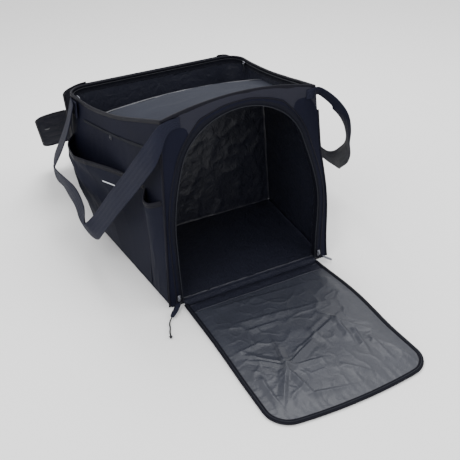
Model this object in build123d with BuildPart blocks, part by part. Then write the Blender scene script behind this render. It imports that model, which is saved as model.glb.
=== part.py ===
from build123d import *
import math
import os

# Ski boot bag, millimetres, +Z up. The origin is the centre of the base's underside.
# The front, with the arched boot door, faces -Y. The rest position is fully open: the door lies
# on the ground in front, the lid is thrown back behind, and the two handles hang at the sides.

os.makedirs("parts", exist_ok=True)

# ---------------------------------------------------------------- driving dimensions
DEPTH = 516.0             # front face to rear face
FRONT_BASE_HALF = 200.0   # half widths of the tapering body
FRONT_TOP_HALF = 172.0
REAR_HALF = 238.0
FRONT_HEIGHT = 430.0      # rim at the front corners
CROWN_HEIGHT = 453.0      # rim at the middle of the front
REAR_HEIGHT = 362.0       # rim along the rear
REAR_CORNER = 50.0        # radius of the rear vertical corners
CLOTH = 3.0               # padded wall thickness
THIN = 1.2                # tapes, linings and single cloth
BASE = 4.0                # base panel thickness
BOARD = 3.0               # stiffener board thickness

FRONT_Y = -DEPTH / 2
REAR_Y = DEPTH / 2
BEND_Y = REAR_Y - REAR_CORNER      # where the side walls meet the rear corners
SIDE_Y = FRONT_Y + CLOTH           # where the side walls meet the front frame

SILL = 8.0                # strip of the front frame below the opening
OPENING_HALF = 171.0      # clear boot opening
OPENING_TOP = 424.0
ZIP_TAPE = 12.0           # width of a zip tape
TEETH = 3.0               # width of a row of zip teeth
BINDING = 3.0             # folded edge binding

DOOR_HALF = 170.0
DOOR_LENGTH = 420.0
DOOR_CORNER = 52.0
DOOR_BOW = 7.0            # how far the door's far edge bows out
DOOR_THICK = 4.0
DOOR_PIVOT_Y = FRONT_Y - 6.6
DOOR_PIVOT_Z = 3.0
DOOR_START = 4.0          # the door panel begins this far from its pivot
DOOR_SEAM = 45.0          # seam across the door, parallel to the hinge

LID_PIVOT_Y = REAR_Y + 4.0
LID_PIVOT_Z = REAR_HEIGHT + 6.0
LID_LENGTH = 508.0
LID_START = 5.0
LID_DROP = 39.0           # the open lid slopes down behind by this angle
LID_CORNER = 24.0
LID_FRONT_HALF = 171.0
LID_BEND = 54.0           # the lid starts to taper here
LID_HINGE_CORNER = 48.0
WING_BINDING = 2.5
WING_THICK = 2.0
WING_DROP = 1.5           # the wing's underside below the lid's hinge plane
SNAP_ALONG = 224.0
SNAP_OUT = 62.0

WING_START = 172.0        # along the lid from its pivot
WING_END = 452.0
WING_REACH = 88.0
WING_CORNER = 30.0
WING_GAP = 3.0

ROOF_FRONT_EDGE = 392.0   # divider roof, low enough at its edges for the lid pulls to pass
ROOF_FRONT_CROWN = 428.0
ROOF_THICK = 6.0
DIVIDER_Y = 60.0          # front face of the divider wall

POCKET_FRONT_Y = -168.0   # rear slip pocket
POCKET_REAR_Y = 204.0
POCKET_TOP = 252.0
POCKET_GAPE = 48.0
SMALL_FRONT_Y = -250.0    # front slip pocket
SMALL_REAR_Y = -174.0
SMALL_TOP = 250.0
SMALL_GAPE = 18.0
POCKET_FOOT = 14.0
POCKET_CLOTH = 2.0
HEM = 12.0

WEBBING = 50.0            # handle webbing width
WEBBING_THICK = 2.5
LEFT_HANG = 16.0          # how far each handle hangs out from vertical
RIGHT_HANG = 30.0
HANDLE_FRONT_X = 184.4    # the handles pivot on the line between their sewn ends
HANDLE_FRONT_Y = -256.0
HANDLE_FRONT_Z = 424.0
HANDLE_REAR_X = 247.0
HANDLE_REAR_Y = 225.0
HANDLE_REAR_Z = 350.0

RUN_GAP = 0.4             # clearance under a zip slider
SLIDER_X = 178.5          # door sliders at the lower ends of the arch zip
SLIDER_Z = 21.0
SLIDER_WIDTH = 9.0
SLIDER_LENGTH = 15.0
SLIDER_THICK = 3.2
LID_SLIDER_BACK = 20.0    # lid sliders just in front of the rear corners
LID_SLIDER_IN = 7.0
LID_SLIDER_DOWN = 7.0
TAB_LENGTH = 38.0
TAB_WIDTH = 13.0
TAB_THICK = 2.5
METAL_LENGTH = 24.0
METAL_WIDTH = 7.0
METAL_THICK = 1.6
KNOT = (-237.0, -353.0, 3.3)
KNOT_RADIUS = 3.2

CORD = 3.0                # pull cord diameter

YOKE_BOTTOM = 352.0       # reinforcement along the top of the front
PIPING = 2.0              # radius of the corner piping, and where its centre lies off the corner
PIPING_OUT = 2.6
PIPING_FORWARD = 0.6
ROOF_FRONT_Y = -253.0
ROOF_REAR_EDGE = 350.0
ROOF_REAR_CROWN = 366.0
SEAM_FRONT_Y = -186.0
SEAM_REAR_Y = 136.0
STUD_Y = -14.0
STUD_Z = 322.0


# ---------------------------------------------------------------- shape of the body
def rim_height(y):
    """Height of the side rim: level over the rear corners, rising to the front."""
    rise = (FRONT_HEIGHT - REAR_HEIGHT) * (BEND_Y - y) / (BEND_Y - SIDE_Y)
    return REAR_HEIGHT + max(rise, 0.0)


def half_width(y, z):
    """Outer half width of the body at a depth and a height."""
    lean = (FRONT_BASE_HALF - FRONT_TOP_HALF) * (z - BASE) / (FRONT_HEIGHT - BASE)
    front = FRONT_BASE_HALF - lean
    return front + (REAR_HALF - front) * (y - SIDE_Y) / (BEND_Y - SIDE_Y)


def tab_tilt(direction):
    """Part of the upward direction that lies along a sloping tab."""
    along = Vector(direction).normalized()
    return along * along.Z


def upright(y):
    """Sketch plane facing the front at depth y: its x is X and its y is Z."""
    return Plane.XZ.offset(-y)


def ruled_strip(near_section, far_section):
    """Ruled solid between two four-cornered sections, each a plane and its points."""
    faces = []
    for plane, points in (near_section, far_section):
        with BuildSketch(plane) as section:
            Polygon(*points, align=None)
        faces.append(section.sketch.face())
    loft(sections=faces, ruled=True)


def side_wall(side, near, far):
    """Ruled wall between two offsets from the outer surface, front frame to rear corner."""
    sections = []
    for y in (SIDE_Y, BEND_Y):
        top = rim_height(y)
        foot_half = half_width(y, BASE)
        top_half = half_width(y, top)
        corners = [
            (side * (foot_half + near), BASE),
            (side * (foot_half + far), BASE),
            (side * (top_half + far), top),
            (side * (top_half + near), top),
        ]
        sections.append((upright(y), corners))
    ruled_strip(*sections)


def rim_strip(side, near, far, low, high):
    """Straight strip along a side rim: offsets outward from the surface and up from the rim."""
    sections = []
    for y in (SIDE_Y, BEND_Y):
        top = rim_height(y)
        edge = half_width(y, top)
        corners = [
            (side * (edge + near), top + low),
            (side * (edge + far), top + low),
            (side * (edge + far), top + high),
            (side * (edge + near), top + high),
        ]
        sections.append((upright(y), corners))
    ruled_strip(*sections)


def rear_outline(out):
    """Plan of the rear of the body, grown outward: corner, rear, corner, closed at the bend."""
    centre = REAR_HALF - REAR_CORNER
    radius = REAR_CORNER + out
    with BuildSketch() as outline:
        with BuildLine():
            Line((-centre - radius, BEND_Y), (centre + radius, BEND_Y))
            JernArc((centre + radius, BEND_Y), (0, 1), radius, 90)
            Line((centre, BEND_Y + radius), (-centre, BEND_Y + radius))
            JernArc((-centre, BEND_Y + radius), (-1, 0), radius, 90)
        make_face()
    return outline.sketch


def arch(grow):
    """Outline of the arched opening, grown outward, down to the sill."""
    half = OPENING_HALF + grow
    top = OPENING_TOP + grow
    shoulder_point = (half - 32, 330)
    crown_point = (half - 92, top - 21)
    with BuildSketch() as outline:
        with BuildLine():
            side = Line((half, SILL), (half - 1, 150))
            shoulder = TangentArc(side @ 1, shoulder_point, tangent=side % 1)
            TangentArc(shoulder @ 1, crown_point, tangent=shoulder % 1)
            ThreePointArc(crown_point, (0, top), (-crown_point[0], crown_point[1]))
            mirror(about=Plane.YZ)
            Line((-half, SILL), (half, SILL))
        make_face()
    return outline.sketch


def front_outline(bottom):
    """Outline of the front face above a height, up to its crowned top edge."""
    half = half_width(SIDE_Y, bottom)
    with BuildSketch() as outline:
        with BuildLine():
            Line((-half, bottom), (half, bottom))
            Line((half, bottom), (FRONT_TOP_HALF, FRONT_HEIGHT))
            ThreePointArc((FRONT_TOP_HALF, FRONT_HEIGHT), (0, CROWN_HEIGHT), (-FRONT_TOP_HALF, FRONT_HEIGHT))
            Line((-FRONT_TOP_HALF, FRONT_HEIGHT), (-half, bottom))
        make_face()
    return outline.sketch


# ---------------------------------------------------------------- base and walls
with BuildPart() as base_panel:
    with BuildSketch():
        with BuildLine():
            Line((-FRONT_BASE_HALF, FRONT_Y), (FRONT_BASE_HALF, FRONT_Y))
            Line((FRONT_BASE_HALF, FRONT_Y), (REAR_HALF, BEND_Y))
            JernArc((REAR_HALF, BEND_Y), (0, 1), REAR_CORNER, 90)
            Line((REAR_HALF - REAR_CORNER, REAR_Y), (REAR_CORNER - REAR_HALF, REAR_Y))
            JernArc((REAR_CORNER - REAR_HALF, REAR_Y), (-1, 0), REAR_CORNER, 90)
            Line((-REAR_HALF, BEND_Y), (-FRONT_BASE_HALF, FRONT_Y))
        make_face()
    extrude(amount=BASE)

BOARD_INSET = 8.0
with BuildPart() as base_stiffener_board:
    with BuildSketch(Plane.XY.offset(BASE)):
        Polygon(
            (BOARD_INSET - FRONT_BASE_HALF, FRONT_Y + BOARD_INSET),
            (FRONT_BASE_HALF - BOARD_INSET, FRONT_Y + BOARD_INSET),
            (REAR_HALF - BOARD_INSET, REAR_Y - BOARD_INSET),
            (BOARD_INSET - REAR_HALF, REAR_Y - BOARD_INSET),
            align=None,
        )
        fillet(vertices().group_by(Axis.Y)[-1], REAR_CORNER)
    extrude(amount=BOARD)

with BuildPart() as left_side_wall:
    side_wall(-1, -CLOTH, 0)

with BuildPart() as right_side_wall:
    side_wall(1, -CLOTH, 0)

with BuildPart() as rear_wall:
    with BuildSketch(Plane.XY.offset(BASE)):
        add(rear_outline(0))
        add(rear_outline(-CLOTH), mode=Mode.SUBTRACT)
    extrude(amount=REAR_HEIGHT - BASE)

with BuildPart() as front_frame:
    with BuildSketch(upright(SIDE_Y)):
        add(front_outline(BASE))
        add(arch(0), mode=Mode.SUBTRACT)
    extrude(amount=CLOTH)

# reinforcement sewn along the top of the front, between the zip tape and the rim
with BuildPart() as front_yoke:
    with BuildSketch(upright(FRONT_Y)):
        add(front_outline(YOKE_BOTTOM))
        add(arch(ZIP_TAPE), mode=Mode.SUBTRACT)
    extrude(amount=THIN)

with BuildPart() as arch_zip_tape:
    with BuildSketch(upright(FRONT_Y)):
        add(arch(ZIP_TAPE))
        add(arch(0), mode=Mode.SUBTRACT)
    extrude(amount=THIN)

with BuildPart() as arch_zip_teeth:
    with BuildSketch(upright(FRONT_Y + 1)):
        add(arch(0))
        add(arch(-TEETH), mode=Mode.SUBTRACT)
    extrude(amount=2)

with BuildPart() as left_corner_piping:
    with BuildSketch(Plane.XY.offset(BASE)):
        with Locations((-FRONT_BASE_HALF - PIPING_OUT, FRONT_Y - PIPING_FORWARD)):
            Circle(PIPING)
    with BuildSketch(Plane.XY.offset(YOKE_BOTTOM)):
        with Locations((-half_width(SIDE_Y, YOKE_BOTTOM) - PIPING_OUT, FRONT_Y - PIPING_FORWARD)):
            Circle(PIPING)
    loft()

with BuildPart() as right_corner_piping:
    add(left_corner_piping.part.mirror(Plane.YZ))


# ---------------------------------------------------------------- top rim
def crown_band(half, low, high):
    """Band that follows the crowned top edge of the front, between two heights above it."""
    with BuildSketch() as band:
        with BuildLine():
            ThreePointArc((-half, FRONT_HEIGHT + high), (0, CROWN_HEIGHT + high), (half, FRONT_HEIGHT + high))
            Line((half, FRONT_HEIGHT + high), (half, FRONT_HEIGHT + low))
            ThreePointArc((half, FRONT_HEIGHT + low), (0, CROWN_HEIGHT + low), (-half, FRONT_HEIGHT + low))
            Line((-half, FRONT_HEIGHT + low), (-half, FRONT_HEIGHT + high))
        make_face()
    return band.sketch


def rim_ring(near, far, low, high, front_near, front_far):
    """Strip all round the top opening: sides, rear corners, rear and crowned front."""
    for side in (-1, 1):
        rim_strip(side, near, far, low, high)
    with BuildSketch(Plane.XY.offset(REAR_HEIGHT + low)) as rear:
        add(rear_outline(far))
        add(rear_outline(near), mode=Mode.SUBTRACT)
    extrude(rear.sketch, amount=high - low)
    with BuildSketch(upright(front_far)) as front:
        add(crown_band(FRONT_TOP_HALF + far, low, high))
    extrude(front.sketch, amount=front_far - front_near)


with BuildPart() as rim_binding:
    rim_ring(-CLOTH - 1, 1, 0, BINDING, FRONT_Y - THIN - 1, SIDE_Y + 1)

with BuildPart() as rim_zip_tape:
    rim_ring(-CLOTH - THIN, -CLOTH, -14, -1, SIDE_Y, SIDE_Y + THIN)

with BuildPart() as rim_zip_teeth:
    rim_ring(-CLOTH - THIN - 2, -CLOTH - THIN, -5, -2, SIDE_Y + THIN, SIDE_Y + THIN + 2)

with BuildPart() as door_hinge_tape:
    with BuildSketch(Plane.XY.offset(0.5)):
        with Locations((0, FRONT_Y)):
            Rectangle(2 * DOOR_HALF, 4.5, align=(Align.CENTER, Align.MAX))
    extrude(amount=THIN)

with BuildPart() as lid_hinge_tape:
    with BuildSketch(upright(REAR_Y)):
        with Locations((0, REAR_HEIGHT)):
            Rectangle(2 * (REAR_HALF - REAR_CORNER), 20, align=(Align.CENTER, Align.MAX))
    extrude(amount=-THIN)


# ---------------------------------------------------------------- padded dividers
def roof_profile(y, edge, crown, thick):
    """Arched cross-section of the divider roof at depth y."""
    half = half_width(y, edge) - CLOTH - 1
    with BuildSketch(upright(y)) as profile:
        with BuildLine():
            ThreePointArc((-half, edge), (0, crown), (half, edge))
            Line((half, edge), (half, edge - thick))
            ThreePointArc((half, edge - thick), (0, crown - thick), (-half, edge - thick))
            Line((-half, edge - thick), (-half, edge))
        make_face()
    return profile.sketch.face()


with BuildPart() as divider_roof:
    front_section = roof_profile(ROOF_FRONT_Y, ROOF_FRONT_EDGE, ROOF_FRONT_CROWN, ROOF_THICK)
    rear_section = roof_profile(DIVIDER_Y, ROOF_REAR_EDGE, ROOF_REAR_CROWN, ROOF_THICK)
    loft(sections=[front_section, rear_section], ruled=True)

with BuildPart() as divider_wall:
    wall_foot = BASE + BOARD
    with BuildSketch(upright(DIVIDER_Y)):
        foot_half = half_width(DIVIDER_Y, wall_foot) - CLOTH - 1
        top_half = half_width(DIVIDER_Y, ROOF_REAR_EDGE) - CLOTH - 1
        with BuildLine():
            Line((-foot_half, wall_foot), (foot_half, wall_foot))
            Line((foot_half, wall_foot), (top_half, ROOF_REAR_EDGE))
            ThreePointArc((top_half, ROOF_REAR_EDGE), (0, ROOF_REAR_CROWN), (-top_half, ROOF_REAR_EDGE))
            Line((-top_half, ROOF_REAR_EDGE), (-foot_half, wall_foot))
        make_face()
    extrude(amount=-ROOF_THICK)


# ---------------------------------------------------------------- side pockets
def pocket_section(side, y0, y1, z, gape, cloth):
    """Plan of a bowed pocket cloth, wall to wall, at height z."""
    middle = (y0 + y1) / 2
    near = half_width(y0, z)
    far = half_width(y1, z)
    belly = half_width(middle, z) + gape
    with BuildSketch(Plane.XY.offset(z)) as plan:
        with BuildLine():
            ThreePointArc((side * near, y0), (side * belly, middle), (side * far, y1))
            Line((side * far, y1), (side * (far + cloth), y1))
            ThreePointArc((side * (far + cloth), y1), (side * (belly + cloth), middle), (side * (near + cloth), y0))
            Line((side * (near + cloth), y0), (side * near, y0))
        make_face()
    return plan.sketch.face()


def pocket(side, span, low, high, gape_low, gape_high, cloth):
    """Bowed pocket cloth between two heights."""
    lower = pocket_section(side, *span, low, gape_low, cloth)
    upper = pocket_section(side, *span, high, gape_high, cloth)
    loft(sections=[lower, upper], ruled=True)


POCKET_SPAN = (POCKET_FRONT_Y, POCKET_REAR_Y)
SMALL_SPAN = (SMALL_FRONT_Y, SMALL_REAR_Y)
FOOT_GAPE = 1.0

with BuildPart() as left_pocket:
    pocket(-1, POCKET_SPAN, POCKET_FOOT, POCKET_TOP, FOOT_GAPE, POCKET_GAPE, POCKET_CLOTH)

with BuildPart() as right_pocket:
    pocket(1, POCKET_SPAN, POCKET_FOOT, POCKET_TOP, FOOT_GAPE, POCKET_GAPE, POCKET_CLOTH)

with BuildPart() as left_pocket_hem:
    pocket(-1, POCKET_SPAN, POCKET_TOP, POCKET_TOP + HEM, POCKET_GAPE, POCKET_GAPE + 1, POCKET_CLOTH + 1)

with BuildPart() as right_pocket_hem:
    pocket(1, POCKET_SPAN, POCKET_TOP, POCKET_TOP + HEM, POCKET_GAPE, POCKET_GAPE + 1, POCKET_CLOTH + 1)

with BuildPart() as left_small_pocket:
    pocket(-1, SMALL_SPAN, POCKET_FOOT, SMALL_TOP, FOOT_GAPE, SMALL_GAPE, POCKET_CLOTH)

with BuildPart() as right_small_pocket:
    pocket(1, SMALL_SPAN, POCKET_FOOT, SMALL_TOP, FOOT_GAPE, SMALL_GAPE, POCKET_CLOTH)

with BuildPart() as small_pocket_hems:
    for side in (-1, 1):
        pocket(side, SMALL_SPAN, SMALL_TOP, SMALL_TOP + HEM, SMALL_GAPE, SMALL_GAPE + 1, POCKET_CLOTH + 1)


def wall_patch(side, y0, y1, low0, high0, low1, high1, lift, thick):
    """Flat sewn piece lying on a side wall, between two depths."""
    sections = []
    for y, low, high in ((y0, low0, high0), (y1, low1, high1)):
        inner = half_width(y, low) + lift
        corners = [
            (side * inner, low),
            (side * (inner + thick), low),
            (side * (inner + thick), high),
            (side * inner, high),
        ]
        sections.append((upright(y), corners))
    ruled_strip(*sections)


with BuildPart() as pocket_seam_tapes:
    for side in (-1, 1):
        wall_patch(side, SEAM_FRONT_Y, SEAM_REAR_Y, 352, 358, 314, 320, 0.5, THIN)

with BuildPart() as handle_anchor_patches:
    for side in (-1, 1):
        wall_patch(side, BEND_Y - WEBBING, BEND_Y, 314, 352, 314, 352, 0, 1.5)
        with BuildSketch(upright(FRONT_Y - THIN)) as front_patch:
            Polygon(
                (side * 134, 404),
                (side * 163, 426),
                (side * 168, 376),
                (side * 150, 366),
                align=None,
            )
        extrude(front_patch.sketch, amount=1.5)


def on_wall(side, y, z, lift):
    """Plane on a side wall, its z pointing straight out of the cloth."""
    step = 1.0
    slope_y = (half_width(y + step, z) - half_width(y, z)) / step
    slope_z = (half_width(y, z + step) - half_width(y, z)) / step
    normal = Vector(side, -slope_y, -slope_z).normalized()
    point = Vector(side * half_width(y, z), y, z) + normal * lift
    return Plane(origin=point, x_dir=(0, 1, 0), z_dir=normal)


with BuildPart() as press_studs:
    for side in (-1, 1):
        with BuildSketch(on_wall(side, STUD_Y, STUD_Z, 0.2)) as stud:
            Circle(6.5)
        extrude(stud.sketch, amount=1.2)
        with BuildSketch(on_wall(side, STUD_Y, STUD_Z, 1.4)) as post:
            Circle(3.5)
        extrude(post.sketch, amount=1.8)


# ---------------------------------------------------------------- front door, lying open
def door_outline(grow):
    """Plan of the door grown outward on its three free sides."""
    near = DOOR_PIVOT_Y - DOOR_START
    half = DOOR_HALF + grow
    far = DOOR_PIVOT_Y - DOOR_LENGTH - grow
    with BuildSketch() as outline:
        with BuildLine():
            Line((-half, near), (half, near))
            Line((half, near), (half, far))
            ThreePointArc((half, far), (0, far - DOOR_BOW), (-half, far))
            Line((-half, far), (-half, near))
        make_face()
        fillet(vertices().sort_by(Axis.Y)[:2], DOOR_CORNER + grow)
    return outline.sketch


TAPE_INSET = ZIP_TAPE + 1
DOOR_TOP = DOOR_THICK + THIN
with BuildPart() as door_panel:
    with BuildSketch():
        add(door_outline(0))
    extrude(amount=DOOR_THICK)

with BuildPart() as door_lining:
    with BuildSketch(Plane.XY.offset(DOOR_THICK)):
        add(door_outline(-TAPE_INSET))
    extrude(amount=THIN)

with BuildPart() as door_zip_tape:
    with BuildSketch(Plane.XY.offset(DOOR_THICK)):
        add(door_outline(0))
        add(door_outline(-TAPE_INSET), mode=Mode.SUBTRACT)
    extrude(amount=THIN)

with BuildPart() as door_zip_teeth:
    with BuildSketch(Plane.XY.offset(DOOR_TOP)):
        add(door_outline(0))
        add(door_outline(-TEETH), mode=Mode.SUBTRACT)
    extrude(amount=THIN)

with BuildPart() as door_binding:
    with BuildSketch():
        add(door_outline(BINDING))
        add(door_outline(0), mode=Mode.SUBTRACT)
    extrude(amount=DOOR_TOP + THIN)

with BuildPart() as door_seam:
    with BuildSketch(Plane.XY.offset(DOOR_TOP)):
        with Locations((0, FRONT_Y - DOOR_SEAM)):
            Rectangle(2 * (DOOR_HALF - TAPE_INSET), 5)
    extrude(amount=THIN / 2)

# ---------------------------------------------------------------- lid, thrown back behind
drop = math.radians(LID_DROP)
lid_plane = Plane(
    origin=(0, LID_PIVOT_Y, LID_PIVOT_Z),
    x_dir=(1, 0, 0),
    z_dir=(0, math.sin(drop), math.cos(drop)),
)


def lid_outline(grow):
    """Lid in its own plane: y runs from the hinge to the free edge."""
    near = LID_START
    wide = REAR_HALF + grow
    narrow = LID_FRONT_HALF + grow
    far = LID_LENGTH + grow
    with BuildSketch() as outline:
        Polygon(
            (-wide, near),
            (wide, near),
            (wide, LID_BEND),
            (narrow, far),
            (-narrow, far),
            (-wide, LID_BEND),
            align=None,
        )
        fillet(vertices().sort_by(Axis.Y)[:2], LID_HINGE_CORNER)
        fillet(vertices().sort_by(Axis.Y)[-2:], LID_CORNER + grow)
    return outline.sketch


with BuildPart() as lid_panel:
    with BuildSketch(lid_plane):
        add(lid_outline(0))
    extrude(amount=-CLOTH)

with BuildPart() as lid_lining:
    with BuildSketch(lid_plane):
        add(lid_outline(-TAPE_INSET))
    extrude(amount=THIN)

with BuildPart() as lid_zip_tape:
    with BuildSketch(lid_plane):
        add(lid_outline(0))
        add(lid_outline(-TAPE_INSET), mode=Mode.SUBTRACT)
    extrude(amount=THIN)

with BuildPart() as lid_binding:
    with BuildSketch(lid_plane.offset(-CLOTH)):
        add(lid_outline(BINDING))
        add(lid_outline(0), mode=Mode.SUBTRACT)
    extrude(amount=CLOTH + THIN)


# ---------------------------------------------------------------- side wings of the lid
edge_near = Vector(-REAR_HALF - BINDING, LID_BEND)
edge_far = Vector(-LID_FRONT_HALF - BINDING, LID_LENGTH + BINDING)
edge_origin = lid_plane.from_local_coords(edge_near)
edge_direction = lid_plane.from_local_coords(edge_far) - edge_origin
# x runs along the lid's left edge away from the hinge, y straight out, z to the lining side
wing_plane = Plane(origin=edge_origin, x_dir=edge_direction, z_dir=lid_plane.z_dir)


def wing_outline(shrink):
    """Wing flap in its own plane, its two outer corners rounded."""
    start = WING_START - LID_BEND + shrink
    end = WING_END - LID_BEND - shrink
    high = WING_REACH - shrink
    with BuildSketch() as outline:
        Polygon((start, WING_GAP), (end, WING_GAP), (end, high), (start, high), align=None)
        fillet(vertices().sort_by(Axis.Y)[-2:], WING_CORNER - shrink)
    return outline.sketch


with BuildPart() as left_wing_panel:
    with BuildSketch(wing_plane.offset(-WING_DROP)):
        add(wing_outline(WING_BINDING))
    extrude(amount=WING_THICK)

with BuildPart() as left_wing_binding:
    with BuildSketch(wing_plane.offset(-WING_DROP)):
        add(wing_outline(0))
        add(wing_outline(WING_BINDING), mode=Mode.SUBTRACT)
    extrude(amount=WING_THICK)

with BuildPart() as left_wing_snap:
    with BuildSketch(wing_plane.offset(WING_THICK - WING_DROP)):
        with Locations((SNAP_ALONG, SNAP_OUT)):
            Circle(6.5)
    extrude(amount=1.6)

with BuildPart() as right_wing_panel:
    add(left_wing_panel.part.mirror(Plane.YZ))

with BuildPart() as right_wing_binding:
    add(left_wing_binding.part.mirror(Plane.YZ))

with BuildPart() as right_wing_snap:
    add(left_wing_snap.part.mirror(Plane.YZ))


# ---------------------------------------------------------------- webbing handles
def handle_plane(side, hang):
    """Plane of a hanging handle: x runs between its sewn ends, y hangs down and outward."""
    front_end = Vector(side * HANDLE_FRONT_X, HANDLE_FRONT_Y, HANDLE_FRONT_Z)
    rear_end = Vector(side * HANDLE_REAR_X, HANDLE_REAR_Y, HANDLE_REAR_Z)
    along = (rear_end - front_end).normalized()
    fall = Vector(0, 0, -1)
    down = (fall - along * fall.dot(along)).normalized()
    outward = down.cross(along) * side
    tilt = math.radians(hang)
    hanging = down * math.cos(tilt) + outward * math.sin(tilt)
    return Plane(origin=front_end, x_dir=along, z_dir=along.cross(hanging))


def webbing_loop(plane, points, radii):
    """Flat webbing loop in its own plane."""
    with BuildSketch(plane.offset(-WEBBING_THICK / 2)) as loop:
        with BuildLine() as route:
            FilletPolyline(*points, radius=radii)
        trace(line_width=WEBBING)
    extrude(loop.sketch, amount=WEBBING_THICK)


LEFT_ROUTE = [(-4, 6), (6, 56), (306, 304), (395, 230), (590, 196), (452, 22)]
RIGHT_ROUTE = [(-4, 6), (-52, 60), (290, 312), (560, 196), (452, 22)]

with BuildPart() as left_handle_webbing:
    webbing_loop(handle_plane(-1, LEFT_HANG), LEFT_ROUTE, [50, 32, 60, 45])

with BuildPart() as right_handle_webbing:
    webbing_loop(handle_plane(1, RIGHT_HANG), RIGHT_ROUTE, [32, 60, 55])

# ---------------------------------------------------------------- zip sliders and their pulls
with BuildPart() as left_door_slider:
    with BuildSketch(upright(FRONT_Y - THIN - RUN_GAP)):
        with Locations((-SLIDER_X, SLIDER_Z)):
            RectangleRounded(SLIDER_WIDTH, SLIDER_LENGTH, 3)
    extrude(amount=SLIDER_THICK)

with BuildPart() as right_door_slider:
    add(left_door_slider.part.mirror(Plane.YZ))

# the left pull is a folded cloth tab with a cord; the right one is a short metal pull
TAB_START = (-184, -270, 14.5)
TAB_DIRECTION = (-27, -25, -9)
with BuildPart() as left_pull_tab:
    tab_plane = Plane(origin=TAB_START, x_dir=TAB_DIRECTION, z_dir=Vector(0, 0, 1) - tab_tilt(TAB_DIRECTION))
    with BuildSketch(tab_plane.offset(-TAB_THICK / 2)):
        Rectangle(TAB_LENGTH, TAB_WIDTH, align=(Align.MIN, Align.CENTER))
    extrude(amount=TAB_THICK)

METAL_START = (184, -270, 14.5)
METAL_DIRECTION = (18, -14, -9)
with BuildPart() as right_metal_pull:
    metal_plane = Plane(origin=METAL_START, x_dir=METAL_DIRECTION, z_dir=Vector(0, 0, 1) - tab_tilt(METAL_DIRECTION))
    with BuildSketch(metal_plane.offset(-METAL_THICK / 2)):
        SlotOverall(METAL_LENGTH, METAL_WIDTH, align=(Align.MIN, Align.CENTER))
    extrude(amount=METAL_THICK)

# limp cord from the tab to its knot, lying on the ground
CORD_ROUTE = [
    (-211.1, -295.1, 5.5),
    (-218.0, -300.6, 3.2),
    (-224.0, -311.5, 2.1),
    (-227.0, -324.0, 1.9),
    (-233.0, -336.0, 2.0),
    (-236.0, -349.0, 2.4),
]


def cord_radii(points):
    """Largest arc radius at each corner of a route: 0.45 of the shorter run over tan(half turn)."""
    radii = []
    for before, corner, after in zip(points, points[1:], points[2:]):
        first = Vector(corner) - Vector(before)
        second = Vector(after) - Vector(corner)
        half_turn = math.radians(first.get_angle(second)) / 2
        shorter = min(first.length, second.length)
        radii.append(0.45 * shorter / math.tan(half_turn))
    return radii


with BuildPart() as left_pull_cord:
    radii = cord_radii(CORD_ROUTE)
    with BuildLine() as route:
        FilletPolyline(*CORD_ROUTE, radius=radii)
    first_run = Vector(CORD_ROUTE[1]) - Vector(CORD_ROUTE[0])
    with BuildSketch(Plane(origin=CORD_ROUTE[0], z_dir=first_run)):
        Circle(CORD / 2)
    sweep(path=route.wires()[0])
print("cord radii", [round(radius, 1) for radius in radii])
print("cord volume ratio", left_pull_cord.part.volume / (math.pi * CORD**2 / 4 * route.wires()[0].length))

with BuildPart() as left_pull_knot:
    with Locations(KNOT):
        Sphere(KNOT_RADIUS)

# lid sliders sit on the rim's teeth, inside the opening; the pulls hang from them
rim_rear = Vector(REAR_HALF, BEND_Y, REAR_HEIGHT)
rim_front = Vector(FRONT_TOP_HALF, SIDE_Y, FRONT_HEIGHT)
rim_along = (rim_front - rim_rear).normalized()
rim_inward = Vector(0, 0, 1).cross(rim_along).normalized()
rim_down = rim_along.cross(rim_inward).normalized()
if rim_inward.X > 0:
    rim_inward = rim_inward * -1
if rim_down.Z > 0:
    rim_down = rim_down * -1
slider_centre = rim_rear + rim_along * LID_SLIDER_BACK + rim_inward * LID_SLIDER_IN + rim_down * LID_SLIDER_DOWN
slider_plane = Plane(origin=slider_centre, x_dir=rim_along, z_dir=rim_inward)
pull_plane = slider_plane.offset(SLIDER_THICK + RUN_GAP)
down_sign = 1 if slider_plane.y_dir.dot(rim_down) > 0 else -1

with BuildPart() as right_lid_slider:
    with BuildSketch(slider_plane):
        RectangleRounded(SLIDER_LENGTH, SLIDER_WIDTH, 3)
    extrude(amount=SLIDER_THICK)

with BuildPart() as right_lid_pull:
    with BuildSketch(pull_plane):
        with Locations((0, down_sign * METAL_LENGTH / 2)):
            SlotOverall(METAL_LENGTH, METAL_WIDTH, rotation=90)
    extrude(amount=METAL_THICK)

with BuildPart() as left_lid_slider:
    add(right_lid_slider.part.mirror(Plane.YZ))

with BuildPart() as left_lid_pull:
    add(right_lid_pull.part.mirror(Plane.YZ))

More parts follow.
